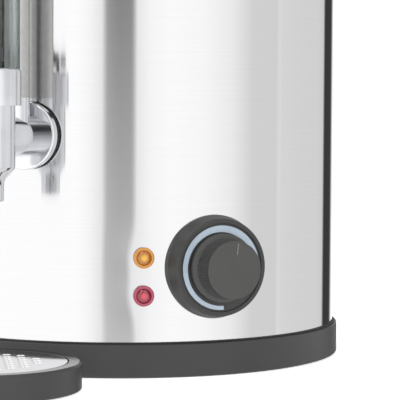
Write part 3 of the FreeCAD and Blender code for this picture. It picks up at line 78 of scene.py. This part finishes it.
shell_low, shell_high, _ = extent("outer_shell")
body_radius = shell_high.y
foot_proud = extent("base_ring")[0].z
KNOB_AZIMUTH, KNOB_HEIGHT = math.radians(46.8), 56.7 * MM
LAMP_AZIMUTH = math.radians(28.8)
AMBER_HEIGHT, RED_HEIGHT = 61.8 * MM, 42.3 * MM
print("body radius", round(body_radius, 4), "ring stands", round(foot_proud, 4), "above the table")

# %% [markdown]
# ## Materials
# A material starts from what the real one is. One function turns an sRGB hex colour to linear,
# and one adds a node with its settings and links. Numbers that are the same all over a surface
# go straight on the shader's own sockets.


# %% Helpers for materials
def linear(hex_colour):
    """An sRGB hex colour as linear RGBA."""
    channels = [int(hex_colour[i:i + 2], 16) / 255 for i in (1, 3, 5)]
    return [c / 12.92 if c <= 0.04045 else ((c + 0.055) / 1.055) ** 2.4 for c in channels] + [1.0]


def scaled(colour, share):
    """A linear colour made darker or lighter by a share."""
    return [min(1, c * share) for c in colour[:3]] + [1]


def add(tree, kind, settings=None, **inputs):
    """A node with its settings. An input is a value or a socket, by name or by number, as i0."""
    node = tree.nodes.new(kind)
    for key, value in (settings or {}).items():
        setattr(node, key, value)
    for key, value in inputs.items():
        number = int(key[1:]) if key[1:].isdigit() else key.replace("_", " ")
        socket = node.inputs[number]
        if isinstance(value, bpy.types.NodeSocket):
            tree.links.new(value, socket)
        else:
            socket.default_value = value
    return node


def surface(name, colour, roughness, metallic=0.0, **more):
    """A new material and its Principled shader."""
    material = bpy.data.materials.new(name)
    material.use_nodes = True
    shader = material.node_tree.nodes["Principled BSDF"]
    shader.inputs["Base Color"].default_value = linear(colour)
    shader.inputs["Roughness"].default_value = roughness
    shader.inputs["Metallic"].default_value = metallic
    for key, value in more.items():
        shader.inputs[key.replace("_", " ")].default_value = value
    return material, material.node_tree, shader


def ramp(tree, factor, stops):
    """A colour ramp from a list of (position, grey or RGBA)."""
    node = add(tree, "ShaderNodeValToRGB", i0=factor)
    elements = node.color_ramp.elements
    while len(elements) < len(stops):
        elements.new(0.5)
    for element, (position, value) in zip(elements, stops):
        element.position = position
        element.color = value if isinstance(value, (list, tuple)) else (value, value, value, 1)
    return node.outputs[0]


def math_node(tree, operation, first, second):
    return add(tree, "ShaderNodeMath", {"operation": operation}, i0=first, i1=second).outputs[0]


def vector_math(tree, operation, *vectors):
    values = {f"i{i}": vector for i, vector in enumerate(vectors)}
    return add(tree, "ShaderNodeVectorMath", {"operation": operation}, **values)


def cloud(tree, place, scale, detail, **more):
    """Noise at a place, in cells per metre."""
    node = add(tree, "ShaderNodeTexNoise", Vector=place, Scale=scale, Detail=detail, **more)
    return node.outputs[0]


def spread(tree, value, source, target):
    """A value mapped from one range to another, and held at its ends."""
    ends = {"i1": source[0], "i2": source[1], "i3": target[0], "i4": target[1]}
    return add(tree, "ShaderNodeMapRange", i0=value, **ends).outputs[0]


# %% [markdown]
# ### Brushed stainless steel
# The body is type 304 sheet, brushed round its girth with an abrasive belt. The scratches are a few
# hundredths of a millimetre wide, finer than a pixel, so they are drawn at about half a millimetre.
# They spread reflections up and down but hardly sideways, which gives the long vertical bands.


# %% Brushed steel
STEEL_COLOUR = "#cfcfd0"
STREAK_WIDTH = 0.5 * MM
STREAKS_AROUND = 18  # noise cells per metre along a scratch


def brushed_steel(name, around_z=True, centre=(0, 0, 0), smear=1.0):
    """Steel brushed round the Z axis, or turned in rings about a centre."""
    material, tree, shader = surface(name, STEEL_COLOUR, 0.1, 1.0, Anisotropic=smear)
    here = add(tree, "ShaderNodeTexCoord").outputs["Object"]
    place = vector_math(tree, "SUBTRACT", here, centre).outputs[0]
    if around_z:
        scale = (STREAKS_AROUND, STREAKS_AROUND, 1 / STREAK_WIDTH)
        squeeze = add(tree, "ShaderNodeMapping", i0=place, Scale=scale).outputs[0]
    else:
        parts = add(tree, "ShaderNodeSeparateXYZ", i0=place)
        flat = add(tree, "ShaderNodeCombineXYZ", i0=parts.outputs[0], i1=parts.outputs[1])
        reach = vector_math(tree, "LENGTH", flat.outputs[0]).outputs["Value"]
        rings = math_node(tree, "MULTIPLY", reach, 1 / STREAK_WIDTH)
        turn = vector_math(tree, "NORMALIZE", flat.outputs[0]).outputs[0]
        lift = add(tree, "ShaderNodeCombineXYZ", i2=rings).outputs[0]
        squeeze = vector_math(tree, "ADD", turn, lift).outputs[0]
    grain = cloud(tree, squeeze, 1.0, 3.0, Roughness=0.6)
    rough = spread(tree, grain, (0.3, 0.7), (0.075, 0.1))
    tree.links.new(rough, shader.inputs["Roughness"])
    light = linear(STEEL_COLOUR)
    tints = ramp(tree, grain, [(0.3, scaled(light, 0.97)), (0.7, light)])
    tree.links.new(tints, shader.inputs["Base Color"])
    bump = add(tree, "ShaderNodeBump", Strength=0.05, Distance=0.02 * MM, Height=grain)
    tree.links.new(bump.outputs[0], shader.inputs["Normal"])
    tangent = add(tree, "ShaderNodeTangent", {"direction_type": "RADIAL", "axis": "Z"})
    shader.inputs["Anisotropic Rotation"].default_value = 0.25
    tree.links.new(tangent.outputs[0], shader.inputs["Tangent"])
    return material


# %% [markdown]
# ### Moulded plastics and rubber
# The ring, bezel, knob and handles are glass-filled nylon from a spark-eroded mould, which leaves a
# fine satin grain. Rubber is softer and duller, with a chalky bloom.


# %% Satin plastic and rubber
def moulded(name, colour, roughness=0.42, grain=0.6, depth=0.03, **more):
    """Plastic or rubber with a grain, its width and depth in millimetres, and faint wear."""
    material, tree, shader = surface(name, colour, roughness, **more)
    place = add(tree, "ShaderNodeTexCoord").outputs["Object"]
    fine = cloud(tree, place, 1 / (grain * MM), 2.0)
    broad = cloud(tree, place, 45.0, 3.0)
    rough = spread(tree, broad, (0.3, 0.7), (roughness - 0.05, roughness + 0.06))
    tree.links.new(rough, shader.inputs["Roughness"])
    base = linear(colour)
    tints = ramp(tree, broad, [(0.35, base), (0.75, scaled(base, 1.18))])
    tree.links.new(tints, shader.inputs["Base Color"])
    bump = add(tree, "ShaderNodeBump", Strength=0.25, Distance=depth * MM, Height=fine)
    tree.links.new(bump.outputs[0], shader.inputs["Normal"])
    return material


# %% Make the materials
steel = brushed_steel("brushed 304 steel, round the body")
steel_turned = brushed_steel("brushed 304 steel, turned", around_z=False)
_, plate_high, plate_middle = extent("drip_plate")
plate_steel = brushed_steel("brushed 304 steel, plate", False, centre=plate_middle, smear=0.3)
nylon = moulded("satin grey nylon", "#333334", 0.46, Specular_IOR_Level=0.35)
grip = {"grain": 0.4, "depth": 0.01, "Specular_IOR_Level": 0.4}
knob_nylon = moulded("satin grey nylon, knob", "#3b3b3a", 0.5, **grip)
bezel = {"grain": 0.5, "depth": 0.02, "Specular_IOR_Level": 0.4}
bezel_nylon = moulded("satin grey nylon, bezel", "#2f2f2e", 0.45, **bezel)
TRAY_ROUGHNESS = 0.46
tray_nylon = moulded("satin grey nylon, tray", "#2b2b2c", TRAY_ROUGHNESS, 0.5, 0.01)
pointer_ink = moulded("worn grey ink", "#74746f", 0.5, 0.4, 0.005)
silicone = moulded("red-brown silicone jacket", "#7d2f28", 0.6, 0.8, 0.02)
rubber = moulded("black rubber", "#1b1b1b", 0.75, 0.8, 0.05)
print("materials:", len(bpy.data.materials))

# %% [markdown]
# The plate's last half millimetre or so is painted dull and dark, as painted shade for the shadowed
# gap round the drip plate. The distance from the plate's middle picks that edge out.

# %% Painted shade at the edge of the drip plate
SHADE_CLEAR, SHADE_FULL = 0.75 * MM, 0.55 * MM  # in from the plate's edge
MIX_SOCKETS = {"RGBA": (6, 7, 2), "FLOAT": (2, 3, 0)}  # the two inputs and the output of each kind

tree = plate_steel.node_tree
shader = tree.nodes["Principled BSDF"]
place = add(tree, "ShaderNodeTexCoord").outputs["Object"]
reach = vector_math(tree, "DISTANCE", place, plate_middle).outputs["Value"]
edges = (plate_high.x - SHADE_CLEAR, plate_high.x - SHADE_FULL)
gap_shade = spread(tree, reach, edges, (0.0, 1.0))
# Painted shade: towards its edge the plate turns dark, dull and non-metallic, for the gap's shadow.
for name, kind, shaded in (
    ("Base Color", "RGBA", linear("#141414")),
    ("Roughness", "FLOAT", 0.9),
    ("Metallic", "FLOAT", 0.0),
):
    socket = shader.inputs[name]
    clean = socket.links[0].from_socket if socket.links else socket.default_value
    first, second, out = MIX_SOCKETS[kind]
    values = {"i0": gap_shade, f"i{first}": clean, f"i{second}": shaded}
    blend = add(tree, "ShaderNodeMix", {"data_type": kind}, **values)
    tree.links.new(blend.outputs[out], socket)
print("plate grimy beyond", round(edges[0] / MM, 1), "mm")

# %% [markdown]
# The tray comes from a mould whose top face was polished, so its rim is glossy and mirrors the
# steel above it, while its side keeps the satin grain. Height alone decides which is which.

# %% Polished rim of the tray
POLISHED_ROUGHNESS = 0.15

tree = tray_nylon.node_tree
tray_top = extent("drip_tray")[1].z
place = add(tree, "ShaderNodeTexCoord").outputs["Object"]
height = add(tree, "ShaderNodeSeparateXYZ", i0=place).outputs[2]
polish = (tray_top - 0.5 * MM, tray_top - 0.1 * MM)
rough = spread(tree, height, polish, (TRAY_ROUGHNESS, POLISHED_ROUGHNESS))
tree.links.new(rough, tree.nodes["Principled BSDF"].inputs["Roughness"])
print("tray polished above", round(polish[0] / MM, 1), "mm")

# %% [markdown]
# ### Plated brass, lenses and the small metals
# The tap is brass, polished and chrome plated. The lamp caps are clear acrylic dyed amber and red,
# with a moulded reflector behind them; the light off it is painted in, so the caps are painted
# brightest in the middle and glow faintly. The rest is what such small parts are made of:
# zinc-plated screws, bare brass, copper, cast aluminium and ceramic.


# %% Metals
def metal(name, colour, roughness, scale=900.0, dulling=0.08):
    """A metal whose polish varies a little, as handling and plating leave it."""
    material, tree, shader = surface(name, colour, roughness, 1.0)
    place = add(tree, "ShaderNodeTexCoord").outputs["Object"]
    wear = cloud(tree, place, scale, 3.0)
    rough = spread(tree, wear, (0.3, 0.7), (roughness, roughness + dulling))
    tree.links.new(rough, shader.inputs["Roughness"])
    base = linear(colour)
    tints = ramp(tree, wear, [(0.3, scaled(base, 0.88)), (0.65, base)])
    tree.links.new(tints, shader.inputs["Base Color"])
    return material


LENS_SPAN = 6.2 * MM  # from the lamp's middle to the end of its colour ramp


def lens(name, rim, middle, hot, height):
    """Dyed acrylic at its rim, painted brighter towards the lamp's middle and glowing faintly, as
    painted light off the reflector.
    """
    material, tree, shader = surface(name, rim, 0.12, Coat_Weight=0.6, Coat_Roughness=0.05)
    place = add(tree, "ShaderNodeTexCoord").outputs["Object"]
    across, out = math.sin(LAMP_AZIMUTH), -math.cos(LAMP_AZIMUTH)
    centre = (across * body_radius, out * body_radius, height)
    away = vector_math(tree, "DISTANCE", place, centre).outputs["Value"]
    share = math_node(tree, "DIVIDE", away, LENS_SPAN)
    # Painted glow: the colour brightens towards the lamp's middle, and the same colour is emitted
    # faintly.
    colour = ramp(tree, share, [(0.36, linear(hot)), (0.58, linear(middle)), (0.68, linear(rim))])
    tree.links.new(colour, shader.inputs["Base Color"])
    tree.links.new(colour, shader.inputs["Emission Color"])
    shader.inputs["Emission Strength"].default_value = 0.06
    return material


chrome = metal("polished chrome plate", "#d6d7da", 0.06, 60.0, 0.05)
satin_steel = metal("mill finish steel", "#bdbdbb", 0.32, 300.0)
zinc = metal("bright zinc plate", "#b4b7ba", 0.25)
brass = metal("bare brass", "#c9a45a", 0.28)
copper = metal("bare copper", "#c57a55", 0.3)
cast_aluminium = metal("cast aluminium", "#b9babc", 0.45, 500.0, 0.15)
sheath = metal("heat-stained sheath", "#6b665f", 0.4)
# Each lamp's last colour is its painted bright middle.
amber = lens("amber acrylic", "#b57824", "#9a5c16", "#f0bd3c", AMBER_HEIGHT)
red = lens("red acrylic", "#94304a", "#771829", "#e0525f", RED_HEIGHT)
natural_nylon = moulded("natural nylon", "#dcd9cf", 0.45)
grey_enamel = moulded("grey enamel", "#6a6c70", 0.35)
ceramic = moulded("glazed ceramic", "#e6e3da", 0.2)
scale_print = moulded("blue-grey scale ink", "#a0adbb", 0.4, 0.4, 0.01)
glass, _, clear = surface("borosilicate glass", "#f4f8f8", 0.03, Transmission_Weight=1.0)
clear.inputs["IOR"].default_value = 1.47

FINISHES = {
    "dark_plastic": nylon, "knob_plastic": knob_nylon, "scale_print": scale_print,
    "brushed_steel": steel, "plain_steel": satin_steel, "chrome": chrome, "zinc_steel": zinc,
    "brass": brass, "copper": copper, "aluminium": cast_aluminium, "element_sheath": sheath,
    "rubber": rubber, "black_nylon": rubber, "block_plastic": natural_nylon,
    "lamp_plastic": natural_nylon, "amber_lens": amber, "red_lens": red, "glass": glass,
    "thermostat_case": grey_enamel, "cutout_ceramic": ceramic, "lead_jacket": silicone,
}
SPECIAL = {"control_bezel": bezel_nylon, "lid": steel_turned, "drip_plate": plate_steel,
           "drip_tray": tray_nylon, "knob_pointer": pointer_ink}
for part in frame["record"]["subparts"]:
    finish = SPECIAL.get(part["node"], FINISHES[part["material_slot"]])
    slots = nodes[part["node"]].material_slots
    for slot in slots:
        slot.material = finish
    if not slots:
        nodes[part["node"]].data.materials.append(finish)

# %% [markdown]
# ## Helpers for round pieces
# Most of the urn is turned or pressed round, so one helper spins an outline about an axis. The
# outline is a few corners in millimetres, and a corner with a third number is rounded by a vertex
# bevel of that radius before the spin.


# %% Lathe and finish
def outward(azimuth, height):
    """Turns a piece modelled with +Z away from the urn, +Y up and +X right to its place."""
    turn = Matrix.Rotation(azimuth, 4, "Z") @ Matrix.Rotation(math.pi / 2, 4, "X")
    return Matrix.Translation((0, 0, height)) @ turn


def outline(corners):
    """A mesh of one closed loop of corners (r, z[, rounding]) in the XZ plane."""
    mesh = bmesh.new()
    verts = [mesh.verts.new((c[0] * MM, 0, c[1] * MM)) for c in corners]
    for first, second in zip(verts, verts[1:] + verts[:1]):
        mesh.edges.new((first, second))
    for i, corner in enumerate(corners):
        if len(corner) < 3:
            continue
        here = Vector(corner[:2])
        back = Vector(corners[i - 1][:2]) - here
        on = Vector(corners[(i + 1) % len(corners)][:2]) - here
        cut = corner[2] * MM / math.tan(back.angle(on) / 2)
        bmesh.ops.bevel(mesh, geom=[verts[i]], offset=cut, offset_type="OFFSET", segments=6,
                        profile=0.5, affect="VERTICES", material=-1)
    return mesh


def lathe(corners, steps):
    """A mesh spun about Z from an outline in millimetres."""
    mesh = outline(corners)
    bmesh.ops.spin(mesh, geom=mesh.verts[:] + mesh.edges[:], cent=(0, 0, 0), axis=(0, 0, 1),
                   angle=2 * math.pi, steps=steps, use_merge=True)
    bmesh.ops.remove_doubles(mesh, verts=mesh.verts[:], dist=0.002 * MM)
    bmesh.ops.recalc_face_normals(mesh, faces=mesh.faces[:])
    return mesh


def made(name, mesh, material, body, replaced=(), place=None, sharp=35):
    """A finished piece from a bmesh: smooth, with its hard edges kept, and riding on any body."""
    if place is not None:
        bmesh.ops.transform(mesh, matrix=place, verts=mesh.verts[:])
    data = bpy.data.meshes.new(name)
    mesh.to_mesh(data)
    mesh.free()
    piece = bpy.data.objects.new(name, data)
    bpy.context.scene.collection.objects.link(piece)
    data.materials.append(material)
    data.polygons.foreach_set("use_smooth", [True] * len(data.polygons))
    data.set_sharp_from_angle(angle=math.radians(sharp))
    if body:
        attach(piece, body)
    if replaced:
        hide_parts(*replaced)
    print(name, len(data.polygons), "faces")
    return piece


# %% [markdown]
# ## The body
# The shell is one sheet, rolled and welded at the back. Drilling and clamping the two lamps has
# pulled the sheet in a little round them, which shows as a kink in the vertical reflections, so the
# cylinder gets a fine grid and a shallow dimple round each lamp.

# %% Body shell
SHELL_WALL = 0.6 * MM
DIMPLE_DEPTH, DIMPLE_SPREAD = 0.36 * MM, 8.0 * MM
SHELL_ROWS, SHELL_STEPS = 150, 300
LEAST_PULL = 1e-7


def dimple(x, z):
    """How far the sheet is pulled in, at x along the girth from the lamps and at height z."""
    depth = 0.0
    for lamp_height in (AMBER_HEIGHT, RED_HEIGHT):
        away = (x * x + (z - lamp_height) ** 2) / (2 * DIMPLE_SPREAD**2)
        depth += DIMPLE_DEPTH * math.exp(-away)
    return depth


inner, outer = (body_radius - SHELL_WALL) / MM, body_radius / MM
low, high = shell_low.z / MM, shell_high.z / MM
outer_side = [(outer, low + (high - low) * i / SHELL_ROWS) for i in range(SHELL_ROWS + 1)]
shell = lathe([(inner, low)] + outer_side + [(inner, high)], SHELL_STEPS)
for vert in shell.verts:
    around = math.atan2(vert.co.x, -vert.co.y) - LAMP_AZIMUTH
    pull, reach = dimple(around * body_radius, vert.co.z), vert.co.xy.length
    if pull > LEAST_PULL and reach > body_radius - SHELL_WALL / 2:
        vert.co.xy *= (reach - min(pull, SHELL_WALL)) / reach
body_shell = made("body_shell", shell, steel, "urn", ("outer_shell",))

# %% [markdown]
# ## The knob
# The thermostat's knob is one moulding with a plain flange, a grip with 72 flutes and a flat face
# that a thumb has rounded at its edge. A spin gives the plain shape. Its vertices are then drawn in
# along the grip, by a wave that repeats with the flutes and fades out below the face. The pointer
# is a thin filled line, a little clockwise of the top.

# %% Knob and pointer
FLUTES, STEPS_PER_FLUTE = 72, 6
FLUTE_DEPTH = 0.8 * MM
GRIP_START, GRIP_END, FLUTE_FADE = 3.9 * MM, 14.2 * MM, 0.9 * MM
GRIP_CORE = 14.0 * MM  # vertices nearer the knob's axis belong to its face
HAIR = 1e-6  # what rounding may do to a height
KNOB_BACK = body_radius + 9.2 * MM
KNOB_LENGTH = 15.4
POINTER_WIDTH, POINTER_LENGTH, POINTER_DEPTH = 0.38 * MM, 5.6 * MM, 0.4 * MM
POINTER_REACH, POINTER_SINK = 10.8 * MM, 0.17 * MM
POINTER_TURN = math.radians(-7)
knob_place = outward(KNOB_AZIMUTH, KNOB_HEIGHT) @ Matrix.Translation((0, 0, KNOB_BACK))


def flute(angle):
    """How deep a flute is, as a share, at an angle round the knob: narrow crests, wide roots."""
    return abs(math.sin(FLUTES / 2 * angle)) ** 0.7


knob = lathe([
    (0, 0), (17.7, 0, 0.3), (17.7, 2.4, 0.6), (16.0, 3.6), (15.9, GRIP_START / MM), (14.9, 12.8),
    (14.75, GRIP_END / MM), (14.65, KNOB_LENGTH, 1.15), (0, KNOB_LENGTH),
], FLUTES * STEPS_PER_FLUTE)
for vert in knob.verts:
    height, reach = vert.co.z, vert.co.xy.length
    if GRIP_START - HAIR <= height <= GRIP_END and reach > GRIP_CORE:
        fade = min(1, (GRIP_END - height) / FLUTE_FADE)
        pull = FLUTE_DEPTH * fade * flute(math.atan2(vert.co.x, vert.co.y))
        vert.co.xy *= (reach - pull) / reach
made("fluted_knob", knob, knob_nylon, "knob", ("thermostat_knob",), knob_place, sharp=50)

pointer = bmesh.new()
bmesh.ops.create_cube(pointer, size=1.0)
reach = Matrix.Translation((0, POINTER_REACH, KNOB_LENGTH * MM - POINTER_SINK))
form = Matrix.Diagonal((POINTER_WIDTH, POINTER_LENGTH, POINTER_DEPTH, 1))
line = knob_place @ Matrix.Rotation(POINTER_TURN, 4, "Z") @ reach @ form
made("pointer_line", pointer, pointer_ink, "knob", ("knob_pointer",), line)

# %% [markdown]
# ## The tap's spring
# The coil sits between the bonnet, which stays still, and the plunger, which the lever lifts. A
# copy of the modelled coil takes its place, on no moving body.

# %% Tap spring
coil = bmesh.new()
coil.from_mesh(nodes["tap_spring"].data)
tap_coil = made("tap_coil", coil, zinc, None, ("tap_spring",))
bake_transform(tap_coil)

# %% [markdown]
# ## Camera
# A pinhole camera was fitted to the ellipses of the base ring, so that its place, aim and small
# roll are real sizes. It stands about a metre away and a little above the table, with no shift.

# %% Camera
CAMERA_AZIMUTH = math.radians(23.8)
CAMERA_REACH = 1.0455
CAMERA_HEIGHT = 0.1358 + foot_proud
FOCAL_PIXELS, PICTURE_PIXELS = 1816.5, 400
SENSOR_WIDTH = 36
YAW, PITCH, ROLL = (math.radians(a) for a in (2.42, 2.77, 0.30))

aim = Vector((math.sin(YAW) * math.cos(PITCH), math.cos(YAW) * math.cos(PITCH), -math.sin(PITCH)))
right = Vector((math.cos(YAW), -math.sin(YAW), 0))
up = right.cross(aim)
turned_right = right * math.cos(ROLL) + up * math.sin(ROLL)
turned_up = up * math.cos(ROLL) - right * math.sin(ROLL)
facing = Matrix((turned_right, turned_up, -aim)).transposed().to_4x4()
spot = Matrix.Translation((0, -CAMERA_REACH, CAMERA_HEIGHT))
lens_data = bpy.data.cameras.new("photo_camera")
lens_data.sensor_width = SENSOR_WIDTH
lens_data.lens = FOCAL_PIXELS * SENSOR_WIDTH / PICTURE_PIXELS
lens_data.clip_end = 50
camera = bpy.data.objects.new("photo_camera", lens_data)
camera.matrix_world = Matrix.Rotation(CAMERA_AZIMUTH, 4, "Z") @ spot @ facing
bpy.context.scene.collection.objects.link(camera)
bpy.context.scene.camera = camera
print("lens", round(lens_data.lens, 1), "mm")

# %% [markdown]
# ## Studio
# The picture is a cut-out on pure white. The steel, though, reflects a studio: white paper on the
# left, a grey band straight ahead where the camera stand is, paler towards its foot, then paper
# that turns to a grey wall on the right with one bright seam, and a black flag far to the right.
# Brushed round the body, the steel smears all of this up and down but keeps it sharp sideways. So
# the world is painted by compass direction, and only the stand changes with height too. It is
# endless, so that the bands stay put.

# %% World
# Grey by degrees right of the camera.
WALLS = [
    (-180, 1.0), (-24, 0.98), (-17, 0.91),  # paper
    (-11, 0.78), (6, 0.78),  # the grey round the stand
    (14, 0.92), (25, 0.96), (42, 0.93), (58, 0.83),  # paper
    (72, 0.63), (89, 0.62), (90.6, 0.72), (92.5, 0.66), (128, 0.60), (137.2, 0.54),  # wall, seam
    (138.3, 0.035), (153, 0.035),  # the black flag
    (157, 0.5), (163, 0.9), (180, 1.0),  # paper
]
# How far the stand covers what is behind it.
STAND = [(-10.2, 0.0), (-9.6, 0.8), (-6, 0.94), (-2, 1.0), (3, 0.98), (5.4, 0.92), (6, 0.0)]
STAND_HEIGHTS, STAND_GREYS = (-0.35, 0.2), (0.84, 0.035)
STUDIO_STRENGTH, PAPER_STRENGTH = 1.62, 1.05

world = bpy.data.worlds.new("studio")
bpy.context.scene.world = world
world.use_nodes = True
tree = world.node_tree
tree.nodes.clear()
ray = add(tree, "ShaderNodeTexCoord").outputs["Generated"]
about_z = {"rotation_type": "Z_AXIS"}
spin = add(tree, "ShaderNodeVectorRotate", about_z, Vector=ray, Angle=-CAMERA_AZIMUTH)
right_part, back_part, up_part = add(tree, "ShaderNodeSeparateXYZ", i0=spin.outputs[0]).outputs
toward = math_node(tree, "MULTIPLY", back_part, -1.0)
compass = math_node(tree, "ARCTAN2", right_part, toward)
share = spread(tree, compass, (-math.pi, math.pi), (0.0, 1.0))


def by_compass(stops):
    """Stops in degrees right of the camera, as places on a ramp that goes once round."""
    return [((degrees + 180) / 360, grey) for degrees, grey in stops]


walls = ramp(tree, share, by_compass(WALLS))
stand = ramp(tree, share, by_compass(STAND))
stand_grey = spread(tree, up_part, STAND_HEIGHTS, STAND_GREYS)
both = {"Factor": stand, "i6": walls, "i7": stand_grey}
glow = add(tree, "ShaderNodeMix", {"data_type": "RGBA"}, **both).outputs[2]
studio = add(tree, "ShaderNodeBackground", Color=glow, Strength=STUDIO_STRENGTH).outputs[0]
white = (1, 1, 1, 1)
paper = add(tree, "ShaderNodeBackground", Color=white, Strength=PAPER_STRENGTH).outputs[0]
seen = add(tree, "ShaderNodeLightPath").outputs["Is Camera Ray"]
mixed = add(tree, "ShaderNodeMixShader", i0=seen, i1=studio, i2=paper)
add(tree, "ShaderNodeOutputWorld", Surface=mixed.outputs[0])
print("world:", len(WALLS), "stops of wall,", len(STAND), "of the stand")

# %% [markdown]
# The floor is a wide white disc that glows a little, as a lit paper sweep does. Reflections don't
# see it or the tray, because on the photographed steel the bands run clean down to the base ring.

# %% Floor and overhead light
FLOOR_RADIUS = 12.0
KEY_PLACE, KEY_AIM = Vector((-0.5, -0.9, 1.8)), Vector((0, 0, 0.2))
KEY_WIDTH, KEY_DEPTH, KEY_WATTS = 1.6, 1.2, 9

glowing = {"Emission Color": white, "Emission Strength": 0.55}
sweep = surface("white sweep", "#f4f4f4", 0.9, **glowing)[0]
floor = bmesh.new()
bmesh.ops.create_circle(floor, cap_ends=True, radius=FLOOR_RADIUS, segments=96)
floor_data = bpy.data.meshes.new("floor")
floor.to_mesh(floor_data)
floor_piece = bpy.data.objects.new("floor", floor_data)
floor_data.materials.append(sweep)
bpy.context.scene.collection.objects.link(floor_piece)
floor_piece.visible_glossy = False
for name in ("drip_tray", "drip_plate", "tray_pads"):
    nodes[name].visible_glossy = False

key = bpy.data.lights.new("overhead", "AREA")
key.shape, key.size, key.size_y, key.energy = "RECTANGLE", KEY_WIDTH, KEY_DEPTH, KEY_WATTS
key_lamp = bpy.data.objects.new("overhead", key)
key_lamp.location = KEY_PLACE
key_lamp.rotation_euler = (KEY_AIM - KEY_PLACE).to_track_quat("-Z", "Y").to_euler()
bpy.context.scene.collection.objects.link(key_lamp)
bpy.context.scene.view_settings.view_transform = "Standard"
